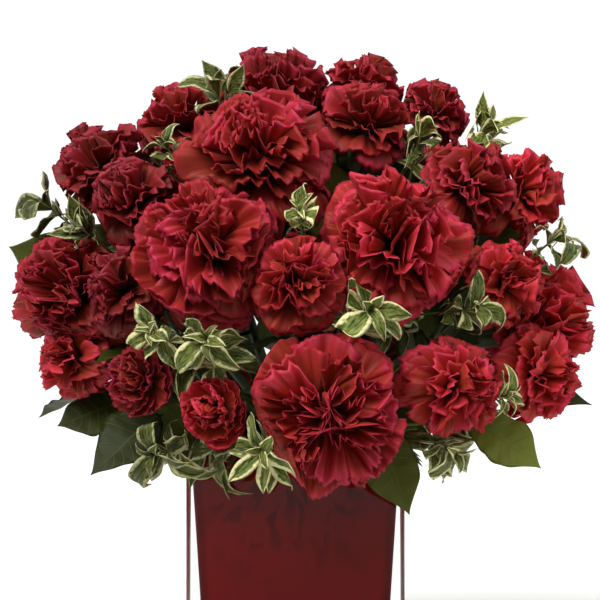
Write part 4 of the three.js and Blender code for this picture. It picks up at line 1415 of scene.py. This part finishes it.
@dataclass
class CarnationHeads:
    """The petals of one bloom, or of blooms that are pressed together."""

    node: str
    blooms: list[Bloom]
    planting: Planting
    petal_thickness: float = 0.35
    tooth: float = 0.013
    claw: float = 0.06
    hearts: float = 0.26

    def petal(self, bloom: Bloom, ring: int, number: int) -> Blade:
        """Shape one petal in its bloom's own frame.

        Args:
            bloom: The bloom.
            ring: The number of its whorl, counted from the outside.
            number: The number of the petal in its whorl.

        Returns:
            Points in rows and columns, and the marks for its finish.
        """
        whorl = bloom.sizes.whorls[ring]
        inward = ring / (len(bloom.sizes.whorls) - 1)
        seed = bloom.head[0] * 0.37 + bloom.head[2] * 0.11 + ring * 7.3 + number
        pick = [chance(seed + k * 0.137) for k in range(18)]
        u = np.linspace(-1, 1, bloom.sizes.columns + 1)[None, :]
        v = (1 - (1 - np.linspace(0, 1, bloom.sizes.rows + 1)) ** 1.3)[:, None]
        half = math.pi / whorl.petals
        spread = min(half * (1.25 + 0.35 * pick[0]), 0.62 + 0.25 * pick[12])
        turn = half * (2 * number + 1 + 0.5 * ring) + half * 0.7 * (pick[1] - 0.5)
        reach = bloom.radius * whorl.reach * (0.88 + 0.15 * pick[2])
        # The outline is a fan, round or lobed, with small uneven teeth at its edge.
        outline = 1 - (0.1 + 0.08 * pick[13]) * u * u + 0.045 * np.sin(2.9 * u + 6.3 * pick[3])
        columns = np.arange(bloom.sizes.columns + 1)
        size = np.array([0.25 + 1.3 * chance(seed + 3.1 * k) for k in columns])
        teeth = (np.where(columns % 2 == 0, 1.0, -1.0) * self.tooth * bloom.row.teeth * size)[None, :]
        share = self.claw + (outline - self.claw) * v + teeth * v**12
        fan = 0.28 + 0.72 * smooth_step(0.08, 0.5, share)
        angle = turn + u * spread * fan
        # A crease down the middle, slow waves, pleats that fan out from the claw, a fine frill.
        crease = (0.5 * pick[14] - 0.12) * (0.35 + 0.65 * inward) * share * (np.abs(u) - 0.4)
        wave = share**1.5 * np.sin((1.2 + 1.3 * pick[4]) * math.pi * u + 6.3 * pick[5])
        pleat = share**2 * np.sin((4.2 + 2.4 * pick[6]) * math.pi * u + 6.3 * pick[7])
        frill = share**8 * np.sin((8 + 3 * pick[8]) * math.pi * u + 6.3 * pick[9])
        lively = 0.45 + 1.1 * pick[15]
        ruffle = (whorl.ruffle + 0.02) * lively * (wave + 0.45 * pleat + 0.28 * frill)
        ripple = reach * (ruffle + 0.016 * pleat + 0.5 * crease)
        closed = bloom.row.closed
        curl = (20 * pick[10] + 4) * (1 - 1.5 * inward) + 22 * (pick[16] - 0.5)
        curl = curl * (1 - closed) - 24 * closed
        roll = (30 + 40 * inward) * (pick[17] - 0.5) * (1 - 0.6 * closed)
        tilt = whorl.tilt + 24 * (pick[11] - 0.5) * (0.55 + 0.45 * inward) + (6 + roll * share) * u
        lean = np.radians(tilt + curl * share**3) * (0.8 + 0.2 * share)
        floor = bloom.radius * (0.1 + 0.17 * inward) * smooth_step(0.0, 0.24, share)
        out = reach * share * np.sin(lean) - ripple * np.cos(lean)
        rise = 0.5 + floor + reach * share * np.cos(lean) + ripple * np.sin(lean)
        # The inner petals crowd round a few hearts of their own beside the middle.
        heart = 2.1 * math.floor(3 * chance(seed + 5.1)) + 6.3 * chance(bloom.head[0] * 0.21 + 2.3)
        shift = self.hearts * bloom.radius * inward * (1 - 0.35 * inward) * (1 - closed)
        shift = shift * smooth_step(0.05, 0.6, share)
        east = out * np.cos(angle) + shift * math.cos(heart)
        north = out * np.sin(angle) + shift * math.sin(heart)
        grid = np.stack([east, north, rise], -1)
        return grid, marks_over(self.claw + (1 - self.claw) * v, u, pick[0], bloom.row.tone)

    def build(self, material: Material) -> None:
        """Make the petals of every whorl and fix them in place of the solid.

        Args:
            material: The petal finish.
        """
        sheets = Sheets()
        names = tuple(bloom.name for bloom in self.blooms)
        for bloom in self.blooms:
            fences = self.planting.bloom_fences(bloom, names)
            basis = basis_of(bloom.axis)
            for ring, whorl in enumerate(bloom.sizes.whorls):
                for number in range(whorl.petals):
                    grid, marks = self.petal(bloom, ring, number)
                    places = bloom.mouth + grid @ basis
                    kept = keep_inside(places, bloom.head, fences)
                    sheets.add_sheet(kept, self.petal_thickness, marks)
        piece = sheets.to_object("petals_of_" + self.node, material)
        settle(piece, "crimson_petals", self.node)


@dataclass
class CarnationStem:
    """The stem of a bloom, or the branching stem of a spray, with a cup under each bloom."""

    node: str
    blooms: list[Bloom]
    sides: int = 20
    # A head of more than this radius has a thick stem.
    large_head: float = 30.0
    # Where a branching stem forks, and where a branch bends, as shares of their lengths.
    fork_share: float = 0.55
    bend_share: float = 0.6

    def cup_profile(self, bloom: Bloom, start: float) -> tuple[list[Array], list[Array]]:
        """Shape the cup: narrow at its base, ribbed, and toothed at its mouth.

        Args:
            bloom: The bloom in the cup.
            start: The radius of the stem below it.

        Returns:
            Points along the cup and the radii of each ring.
        """
        cup = bloom.sizes.calyx
        turns = np.arange(self.sides) / self.sides * 2 * math.pi
        ribs = 1 + 0.03 * np.cos(5 * turns)
        lobes = 0.88 + 0.14 * np.abs(np.cos(2.5 * turns))
        rings = (
            (0.02, np.full(self.sides, start)),
            (0.07, cup.radius * 0.72 * ribs),
            (0.2, cup.radius * 0.82 * ribs),
            (0.45, cup.radius * 0.93 * ribs),
            (0.75, cup.radius * ribs),
            (0.92, cup.mouth * 0.97 * lobes),
            (0.99, cup.mouth * lobes),
        )
        places = [bloom.cup_base + bloom.axis * cup.length * share for share, _ in rings]
        return places, [radii for _, radii in rings]

    def limb(self, sheets: Sheets, corners: list[Array], ends: tuple[float, float], bloom: Bloom) -> None:
        """Add one limb that ends in a cup.

        Args:
            sheets: What the limb is added to.
            corners: The points that the limb follows, up to the base of the cup.
            ends: Its radius at the start and under the cup.
            bloom: The bloom that it carries.
        """
        path = smooth_path(corners + [bloom.cup_base])
        length = np.concatenate([[0], np.cumsum(np.linalg.norm(np.diff(path, axis=0), axis=1))])
        radii = ends[0] + (ends[1] - ends[0]) * length / length[-1]
        cup_places, cup_radii = self.cup_profile(bloom, ends[1])
        places = np.concatenate([path, np.array(cup_places)])
        wide = np.concatenate([np.repeat(radii[:, None], self.sides, axis=1), np.array(cup_radii)])
        sheets.add_tube(places, wide, self.sides, {})

    def build(self, material: Material) -> None:
        """Make the stem and fix it in place of the solid.

        Args:
            material: The stem finish.
        """
        sheets = Sheets()
        if len(self.blooms) == 1:
            bloom = self.blooms[0]
            radius = STEM_RADIUS if bloom.radius > self.large_head else SPRAY_RADIUS
            self.limb(sheets, [bloom.foot], (radius, radius), bloom)
        else:
            middle = np.mean([bloom.cup_base for bloom in self.blooms], axis=0)
            foot, _ = root_of(middle)
            fork = foot + (middle - foot) * self.fork_share
            for number, bloom in enumerate(self.blooms):
                bend = fork + (bloom.cup_base - fork) * self.bend_share
                corners = [foot, fork, bend] if number == 0 else [fork, bend]
                start = SPRAY_RADIUS if number == 0 else TWIG_RADIUS
                self.limb(sheets, corners, (start, TWIG_RADIUS), bloom)
        piece = sheets.to_object("green_" + self.node, material)
        settle(piece, "carnation_stem", self.node)


@dataclass(frozen=True)
class PointedBlade:
    """The form of a broad pointed leaf: folded along its rib, waved, and drooping to the tip."""

    droop: float = 0.05
    fold: float = 0.18
    thickness: float = 0.5
    columns: int = 12
    rows: int = 28

    def shape(self, base: Array, tip: Array, face: Array, width: float, seed: float, tone: float) -> Blade:
        """Shape one leaf where it grows.

        Args:
            base: Where it leaves its stalk.
            tip: Where it ends, before it droops.
            face: The way its upper face looks.
            width: Its greatest width.
            seed: What makes this leaf its own.
            tone: How bright it is.

        Returns:
            Points in rows and columns, and the marks for its finish.
        """
        length = float(np.linalg.norm(tip - base))
        way = unit(tip - base)
        side = unit(np.cross(way, face))
        top = unit(np.cross(side, way))
        a = np.linspace(-1, 1, self.columns + 1)[None, :]
        s = np.linspace(0, 0.998, self.rows + 1)[:, None]
        wide = np.maximum(np.sin(math.pi * s**0.8), 1e-4) ** (0.72 + 0.6 * s) + 0.03 * (1 - s)
        across = a * wide
        wave = across * width * (0.05 * np.sin(s * 9 + seed * 3) + 0.02 * np.sin(s * 31 + seed))
        rise = self.fold * np.abs(across) * width * 0.5 - self.droop * length * s * s + wave
        grid = base + way * (s * length + 0 * a)[..., None]
        grid = grid + side * (across * width * 0.5)[..., None] + top * rise[..., None]
        return grid, marks_over(s, a, chance(seed), tone)


@dataclass(frozen=True)
class LeafWhorl:
    """A whorl of a rosette: its leaves, their lean, its drop below the tip, their size, its turn."""

    leaves: int
    tilt: float
    drop: float
    size: float
    turn: float


@dataclass
class CreamEdgedSprig:
    """A twig with rosettes of cream-edged leaves."""

    node: str
    sprig: Sprig
    planting: Planting
    leaf_thickness: float = 0.4
    slimness: float = 0.2
    columns: int = 6
    rows: int = 11
    twig_taper: float = 0.45
    twig_sides: int = 10
    # The radii at both ends of a single leaf's stalk, and its sides.
    stalk: tuple[float, float] = (0.9, 0.6)
    stalk_sides: int = 8
    # Where the pairs of leaves sit along a twig, and how far they lean out.
    pair_shares: tuple[float, ...] = (0.9, 0.8, 0.68, 0.55)
    pair_tilt: float = 58.0
    single: PointedBlade = PointedBlade(droop=0.12)

    def whorls(self, rosette: Rosette) -> list[LeafWhorl]:
        """List the whorls of a rosette: those of the solid, and the small leaves between them.

        Args:
            rosette: The rosette.

        Returns:
            Its whorls from the lowest up.
        """
        lower, *more = rosette.row.leaves
        upper, size = (more[0], 1.0) if more else (3, 0.8)
        return [
            LeafWhorl(4, 84, 12, 0.85, 1.3),
            LeafWhorl(lower, 62, 6, 1.0, 0.0),
            LeafWhorl(upper, 34, 2, size, 0.7),
            LeafWhorl(3, 10, 0.5, 0.55, 1.9),
        ]

    def leaf(self, length: float, tilt: float, turn: float, seed: float, tone: float) -> Blade:
        """Shape one leaf round the line that it grows from.

        Args:
            length: Its length.
            tilt: How far it leans out at its base, in degrees.
            turn: The way that it leans, as an angle round the line.
            seed: What makes this leaf its own.
            tone: How bright it is.

        Returns:
            Points in rows and columns, and the marks for its finish.
        """
        a = np.linspace(-1, 1, self.columns + 1)[None, :]
        s = np.linspace(0.02, 0.995, self.rows + 1)[:, None]
        pick = [chance(seed + k * 0.173) for k in range(6)]
        wide = np.maximum(np.sin(math.pi * s ** (1.05 + 0.3 * pick[0])), 0.04) ** 0.75
        bend = 0.35 + 0.9 * pick[1]
        lean = np.radians(tilt + 22 * (pick[2] - 0.5)) + bend * s * s
        twist = (pick[3] - 0.5) * 2.6 * s
        half = a * wide * length * self.slimness * (0.85 + 0.35 * pick[4])
        cup = np.abs(a) ** 1.3 * wide * length * (0.11 * pick[5] - 0.015)
        wave = a * wide * length * 0.05 * np.sin(seed * 5 + s * 11)
        over = half * np.cos(twist) - (cup + wave) * np.sin(twist)
        lift = half * np.sin(twist) + (cup + wave) * np.cos(twist)
        out = s * length * np.sin(lean) - lift * np.cos(lean)
        rise = s * length * np.cos(lean) + lift * np.sin(lean)
        east = out * math.cos(turn) - over * math.sin(turn)
        north = out * math.sin(turn) + over * math.cos(turn)
        return np.stack([east, north, rise], -1), marks_over(s, a, chance(seed + 0.9), tone)

    def add_rosette(self, sheets: Sheets, rosette: Rosette) -> None:
        """Add the leaves at the tip of a twig.

        Args:
            sheets: What the leaves are added to.
            rosette: The rosette.
        """
        fences = self.planting.leaf_fences(rosette.anchor)
        down = unit(rosette.low - rosette.anchor)
        basis = basis_of(rosette.axis)
        for ring, whorl in enumerate(self.whorls(rosette)):
            centre = rosette.anchor + down * whorl.drop
            half = math.pi / whorl.leaves
            for number in range(whorl.leaves):
                seed = rosette.anchor[0] * 0.61 + number + ring * 11
                turn = half * (2 * number + 1) + whorl.turn + 0.5 * (chance(seed + 0.2) - 0.5)
                length = rosette.row.length * whorl.size * (0.78 + 0.34 * chance(seed + 0.5))
                grid, marks = self.leaf(length, whorl.tilt, turn, seed, rosette.row.tone)
                kept = keep_inside(centre + grid @ basis, rosette.anchor, fences)
                sheets.add_sheet(kept, self.leaf_thickness, marks)

    def add_pairs(self, sheets: Sheets, rosette: Rosette) -> None:
        """Add pairs of leaves down the twig, below its rosette.

        Args:
            sheets: What the leaves are added to.
            rosette: The rosette.
        """
        path = smooth_path([self.sprig.fork, rosette.low, rosette.anchor])
        for pair, share in enumerate(self.pair_shares):
            step = int(share * (len(path) - 1))
            place = path[step]
            basis = basis_of(unit(path[-1] - path[step - 1]))
            for number in range(2):
                seed = place[0] * 0.43 + place[2] * 0.29 + pair * 5 + number
                turn = number * math.pi + pair * math.pi / 2 + 0.6 * (chance(seed) - 0.5)
                length = rosette.row.length * (0.9 + 0.2 * chance(seed + 0.4))
                grid, marks = self.leaf(length, self.pair_tilt, turn, seed, rosette.row.tone)
                sheets.add_sheet(place + grid @ basis, self.leaf_thickness, marks)

    def build(self, material: Material) -> None:
        """Make the twigs and leaves and fix them in place of the solid.

        Args:
            material: The leaf finish.
        """
        sheets = Sheets()
        for order, rosette in enumerate(self.sprig.rosettes):
            corners = [self.sprig.foot, self.sprig.fork] if order == 0 else [self.sprig.fork]
            path = smooth_path(corners + [rosette.low, rosette.anchor])
            radii = np.linspace(TWIG_RADIUS, TWIG_RADIUS * self.twig_taper, len(path))
            sheets.add_stalk(path, radii, self.twig_sides, rosette.row.tone)
            self.add_rosette(sheets, rosette)
            self.add_pairs(sheets, rosette)
        tone = self.sprig.rosettes[0].row.tone
        for number, row in enumerate(self.sprig.row.loose):
            base, tip, face = row.vectors
            grid, marks = self.single.shape(base, tip, face, row.width, number + 0.4, tone)
            path = smooth_path([self.sprig.fork, (self.sprig.fork + base) / 2, base + unit(tip - base)])
            sheets.add_stalk(path, np.linspace(*self.stalk, len(path)), self.stalk_sides, tone)
            sheets.add_sheet(grid, self.leaf_thickness, marks)
        piece = sheets.to_object("cream_edged_" + self.node, material)
        settle(piece, "variegated_leaf", self.node)


@dataclass
class BroadLeaves:
    """A stalk with its broad pointed leaves."""

    node: str
    rows: tuple[LeafRow, ...]
    planting: Planting
    blade: PointedBlade = PointedBlade()
    fork_share: float = 0.62
    stalk_end: float = 0.9
    stalk_sides: int = 10
    # The stalk takes the colour that the leaf has half-way out from its rib.
    stalk_across: float = 0.5

    def build(self, material: Material) -> None:
        """Make the stalk and leaves and fix them in place of the solid.

        Args:
            material: The leaf finish.
        """
        sheets = Sheets()
        middle = np.mean([row.vectors[0] for row in self.rows], axis=0)
        foot, _ = root_of(middle)
        fork = foot + (middle - foot) * self.fork_share
        for number, row in enumerate(self.rows):
            base, tip, face = row.vectors
            grid, marks = self.blade.shape(base, tip, face, row.width, number + row.width, row.olive_and_painted_light)
            anchor = (base + tip) / 2
            kept = keep_inside(grid, anchor, self.planting.leaf_fences(anchor))
            kept[0] = grid[0]
            into = base + unit(tip - base) * 1.5
            path = smooth_path([foot, fork, into] if number == 0 else [fork, (fork + into) / 2, into])
            radii = np.linspace(BROAD_RADIUS, self.stalk_end, len(path))
            sheets.add_stalk(path, radii, self.stalk_sides, row.olive_and_painted_light, self.stalk_across)
            sheets.add_sheet(kept, self.blade.thickness, marks)
        piece = sheets.to_object("leathery_" + self.node, material)
        settle(piece, "broad_leaf", self.node)


@dataclass
class InnerLeaves:
    """Dark leaves inside the dome, each on a short stalk that leaves a flower stem."""

    node: str
    rows: tuple[InnerRow, ...]
    planting: Planting
    blade: PointedBlade = PointedBlade(droop=0.1, fold=0.24, columns=8, rows=20)
    # The stalk's share of the way to the tip, its radii at both ends, its sides and its colour.
    stalk_share: float = 0.22
    stalk: tuple[float, float] = (1.1, 0.8)
    stalk_sides: int = 8
    stalk_across: float = 0.5
    # Leaves whose tips are nearer than this turn their upper faces a little more to the front.
    front_half: float = 20.0
    turned_front: float = -0.8
    lift: float = 0.4

    def build(self, material: Material) -> None:
        """Make the leaves and fix them beside the flower stem.

        Args:
            material: The leaf finish.
        """
        sheets = Sheets()
        for number, row in enumerate(self.rows):
            bloom = self.planting.blooms[row.bloom]
            start = bloom.foot + (bloom.cup_base - bloom.foot) * row.share
            tip = np.array(row.tip, float)
            base = start + (tip - start) * self.stalk_share
            front = self.turned_front if tip[1] < self.front_half else 0.0
            face = unit(tip - DOME_HEART) + np.array([0.0, front, self.lift])
            tone = 0.35 * chance(row.width + row.share * 5) if row.olive_and_painted_light is None else row.olive_and_painted_light
            seed = number + row.width + row.share * 7
            grid, marks = self.blade.shape(base, tip, face, row.width, seed, tone)
            path = smooth_path([start, start + (base - start) * 0.6, base + unit(tip - base) * 1.5])
            radii = np.linspace(*self.stalk, len(path))
            sheets.add_stalk(path, radii, self.stalk_sides, 0.0, self.stalk_across)
            sheets.add_sheet(grid, self.blade.thickness, marks)
        piece = sheets.to_object("inner_leaves_of_" + self.node, material)
        settle(piece, "broad_leaf")


@dataclass
class CollarLeaves:
    """Leaves pushed into the sides of the foam, to hide it above the rim of the vase."""

    # Half the width of the foam, and how deep a leaf's base stands in it.
    foam_half: float = 40.0
    depth: float = 1.0
    # For each tier: the height of the bases, how far out and how high the tips are, and the width.
    tiers: tuple[tuple[float, float, float, float], ...] = (
        (127.0, 71.0, 111.0, 30.0),
        (139.0, 62.0, 127.0, 28.0),
    )
    # Where the leaves of the first tier stand along a side, and how far those of the next are moved.
    across: tuple[float, ...] = (-30.0, -6.0, 18.0, 36.0)
    stagger: float = 8.0
    # Bases and tips are scattered by up to half of these, along the side, outwards and upwards.
    scatter: float = 8.0
    swing: float = 24.0
    lift: float = 6.0
    blade: PointedBlade = PointedBlade(droop=0.12, fold=0.2, columns=8, rows=20)

    def build(self, material: Material) -> None:
        """Make the leaves on both sides and at the back.

        Args:
            material: The leaf finish.
        """
        sheets = Sheets()
        sides = ((1.0, 0.0), (0.0, 1.0), (-1.0, 0.0))
        for side, (east, north) in enumerate(sides):
            out = np.array([east, north, 0.0])
            along = np.array([-north, east, 0.0])
            for tier, (rise, reach, drop, width) in enumerate(self.tiers):
                for number, place in enumerate(self.across):
                    seed = side * 17.0 + tier * 5.3 + number * 1.7
                    pick = [chance(seed + k * 0.41) for k in range(5)]
                    shift = place + self.stagger * tier + self.scatter * (pick[0] - 0.5)
                    base = out * (self.foam_half - self.depth) + along * shift
                    base[2] = rise + self.lift * (pick[1] - 0.5)
                    tip = out * (reach + self.scatter * (pick[2] - 0.5))
                    tip += along * (shift + self.swing * (pick[3] - 0.5))
                    tip[2] = drop + self.lift * (pick[4] - 0.5)
                    wide = width * (0.85 + 0.3 * pick[1])
                    grid, marks = self.blade.shape(base, tip, out * 0.5 + UP, wide, seed, 0.45 * pick[3])
                    sheets.add_sheet(grid, self.blade.thickness, marks)
        piece = sheets.to_object("collar_of_broad_leaves", material)
        settle(piece, "broad_leaf")


@dataclass
class GlassCube:
    """The vase: a clear cube with a thick base, cased with ruby glass inside, and its foam."""

    side: float = 115.0
    height: float = 115.0
    corner: float = 3.0
    edge: float = 1.5
    floor: float = 17.0
    half_at_floor: float = 48.5
    half_at_rim: float = 54.8
    cavity_corner: float = 4.0
    ruby: float = 1.3
    seat: float = 0.3
    corner_steps: int = 8
    # The lip is rounded by this share of the outer edge's rounding.
    lip_share: float = 0.6
    # The mouth opens out by the first of these over the second; the heel rounds the cavity's floor.
    flare: float = 0.15
    flare_depth: float = 0.4
    heel: float = 1.0
    # How far the ruby layer is let into the clear glass, and how far below the rim it ends.
    sunk: float = 0.12
    ruby_drop: float = 0.5
    # Faces that meet at more than this many degrees keep a sharp edge.
    sharp: float = 35.0

    def ring(self, half: float, corner: float, height: float) -> Array:
        """Outline a square with rounded corners at one height.

        Args:
            half: Half its width.
            corner: The radius of its corners.
            height: Its height.

        Returns:
            The points of the outline.
        """
        places = []
        for quarter, (x, y) in enumerate(((1, 1), (-1, 1), (-1, -1), (1, -1))):
            for turn in (quarter + np.linspace(0, 1, self.corner_steps + 1)) * math.pi / 2:
                east = x * (half - corner) + corner * math.cos(turn)
                north = y * (half - corner) + corner * math.sin(turn)
                places.append((east, north, height))
        return np.array(places)

    def cavity_half(self, height: float) -> float:
        """Half the width of the cavity at a height."""
        share = (height - self.floor) / (self.height - self.floor)
        return self.half_at_floor + (self.half_at_rim - self.half_at_floor) * share

    def loft(self, name: str, rings: list[Array], material: Material) -> Object:
        """Make a closed solid through rings of points.

        Args:
            name: The name of the piece.
            rings: The rings in order; the first and the last are closed flat.
            material: Its finish.

        Returns:
            The object, with its flat faces kept flat.
        """
        count = len(rings[0])
        faces = [tuple(reversed(range(count)))]
        for ring in range(len(rings) - 1):
            for k in range(count):
                a, b = ring * count + k, ring * count + (k + 1) % count
                faces.append((a, b, b + count, a + count))
        last = (len(rings) - 1) * count
        faces.append(tuple(range(last, last + count)))
        mesh = bpy.data.meshes.new(name)
        mesh.from_pydata((np.concatenate(rings) * MM).tolist(), [], faces)
        mesh.materials.append(material)
        mesh.shade_smooth()
        mesh.set_sharp_from_angle(angle=math.radians(self.sharp))
        return add_object(name, mesh)

    def build_clear(self, material: Material) -> None:
        """Make the clear cube with rounded edges and fix it in place of the solid.

        Args:
            material: The clear glass.
        """
        half = self.side / 2
        rounding = [math.radians(turn) for turn in (0, 22.5, 45, 67.5, 90)]
        rings = []
        for turn in rounding:
            inset = self.edge * (1 - math.sin(turn))
            rings.append(self.ring(half - inset, self.corner, self.edge * (1 - math.cos(turn))))
        lip = self.edge * self.lip_share
        for turn in rounding:
            inset = lip * (1 - math.cos(turn))
            rings.append(self.ring(half - inset, self.corner, self.height - lip * (1 - math.sin(turn))))
        below, above = self.height - self.flare_depth, self.floor + self.heel
        cavity = (
            (self.half_at_rim + self.flare, self.height),
            (self.cavity_half(below), below),
            (self.cavity_half(above), above),
            (self.half_at_floor - self.heel, self.floor),
        )
        rings += [self.ring(wide, self.cavity_corner, height) for wide, height in cavity]
        piece = self.loft("clear_glass_cube", rings, material)
        settle(piece, "clear_glass", "vase_glass")

    def build_ruby(self, material: Material) -> None:
        """Make the ruby layer, which sits in the clear glass with no air between them.

        Args:
            material: The ruby glass.
        """
        top, above = self.height - self.ruby_drop, self.floor + self.heel
        inner = self.ruby + self.seat
        layer = (
            (self.half_at_floor - self.heel + self.sunk, self.floor - self.sunk),
            (self.cavity_half(above) + self.sunk, above),
            (self.cavity_half(top) + self.sunk, top),
            (self.cavity_half(top) - inner, top),
            (self.half_at_floor - inner, self.floor + inner),
        )
        rings = [self.ring(wide, self.cavity_corner, height) for wide, height in layer]
        piece = self.loft("ruby_casing", rings, material)
        settle(piece, "ruby_glass", "vase_ruby_layer")

    def dress_foam(self, material: Material) -> None:
        """Give the foam block its finish; its solid stays.

        Args:
            material: The foam finish.
        """
        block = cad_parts["floral_foam"]
        block.data.materials.clear()
        block.data.materials.append(material)
        log.info("floral_foam keeps its solid")


@dataclass
class Studio:
    """A pale floor, soft light from above and in front, and the camera."""

    # The set is in metres.
    floor_half: float = 4.0
    floor_front: float = -0.2
    floor_drop: float = -0.0002
    floor_steps: int = 8
    lamp_at: Place = (-1.0, -1.5, 2.0)
    lamp_width: float = 38.0
    camera_at: Place = (0.0024, -1.4575, 0.196)
    lens: float = 160.0
    sensor: float = 36.0

    def lay_floor(self, material: Material) -> None:
        """Lay the floor under the vase.

        Args:
            material: The floor paint.
        """
        count = self.floor_steps + 1
        across = np.linspace(-self.floor_half, self.floor_half, count)
        depths = np.linspace(self.floor_front, self.floor_half, count)
        places = [(x, y, self.floor_drop) for y in depths for x in across]
        firsts = [row * count + column for row in range(count - 1) for column in range(count - 1)]
        faces = [(k, k + 1, k + count + 1, k + count) for k in firsts]
        mesh = bpy.data.meshes.new("studio_floor")
        mesh.from_pydata(places, [], faces)
        mesh.materials.append(material)
        floor = add_object("studio_floor", mesh)

    def add_key(self, name: str, turn: float, rise: float, strength: float) -> None:
        """Hang a broad soft key light, far enough off to light the floor evenly.

        Args:
            name: The name of the light.
            turn: Its bearing in degrees, from straight in front towards the left.
            rise: Its height above the horizon in degrees.
            strength: Its strength in watts a square metre.
        """
        data = bpy.data.lights.new(name, "SUN")
        data.angle = math.radians(self.lamp_width)
        data.energy = strength
        lamp = add_object(name, data)
        lamp.location = self.lamp_at
        lamp.rotation_euler = (math.radians(90 - rise), 0, math.radians(-turn))

    def light(self) -> None:
        """Light the set: a white surround that is dim behind the camera, and two broad keys."""
        world = bpy.data.worlds.new("white_surround")
        bpy.context.scene.world = world
        world.use_nodes = True
        tree = world.node_tree
        tree.nodes.clear()
        way = add_node(tree, "TexCoord").outputs["Generated"]
        height = add_node(tree, "SeparateXYZ", None, {0: way}).outputs[2]
        dome = ramp(tree, height, -0.25, 0.6, 0.16, 0.8, smooth=True)
        seen = add_node(tree, "LightPath").outputs["Is Camera Ray"]
        strength = add_node(tree, "Mix", {"data_type": "FLOAT"}, {0: seen, 2: dome, 3: 1.05})
        glow = add_node(tree, "Background", None, {"Color": (1, 1, 1, 1), "Strength": strength.outputs[0]})
        add_node(tree, "OutputWorld", None, {"Surface": glow.outputs[0]})
        self.add_key("front_key", 34, 44, 2.35)
        self.add_key("side_fill", -62, 38, 0.35)

    def add_camera(self) -> None:
        """Set the camera level, in front of the vase, and make it the scene's own."""
        data = bpy.data.cameras.new("camera")
        data.lens = self.lens
        data.sensor_width = self.sensor
        camera = add_object("camera", data)
        camera.location = self.camera_at
        camera.rotation_euler = (math.pi / 2, 0, 0)
        bpy.context.scene.camera = camera
        bpy.context.scene.view_settings.view_transform = "Standard"


def main() -> None:
    """Build every piece in order: vase, stems, foliage, petals, and then the set."""
    logging.basicConfig(level=logging.INFO, format="%(message)s")
    planting = Planting()
    vase = GlassCube()
    vase.build_clear(ClearGlass().build())
    vase.build_ruby(RubyGlass().build())
    vase.dress_foam(WetFoam().build())
    stem_finish = WaxyStem().build()
    for node, names in STEMS.items():
        CarnationStem(node, [planting.blooms[name] for name in names]).build(stem_finish)
    leaf_finish = VariegatedLeaf().build()
    for node, sprig in planting.sprigs.items():
        CreamEdgedSprig(node, sprig, planting).build(leaf_finish)
    broad_finish = LeatheryLeaf().build()
    for node, rows in BROAD_ROWS.items():
        BroadLeaves(node, rows, planting).build(broad_finish)
    for node, inner in INNER_ROWS.items():
        InnerLeaves(node, inner, planting).build(broad_finish)
    CollarLeaves().build(broad_finish)
    petal_finish = VelvetPetal().build()
    for node, names in HEADS.items():
        CarnationHeads(node, [planting.blooms[name] for name in names], planting).build(petal_finish)
    studio = Studio()
    studio.lay_floor(PaintedFloor().build())
    studio.light()
    studio.add_camera()


if __name__ == "__main__":
    main()
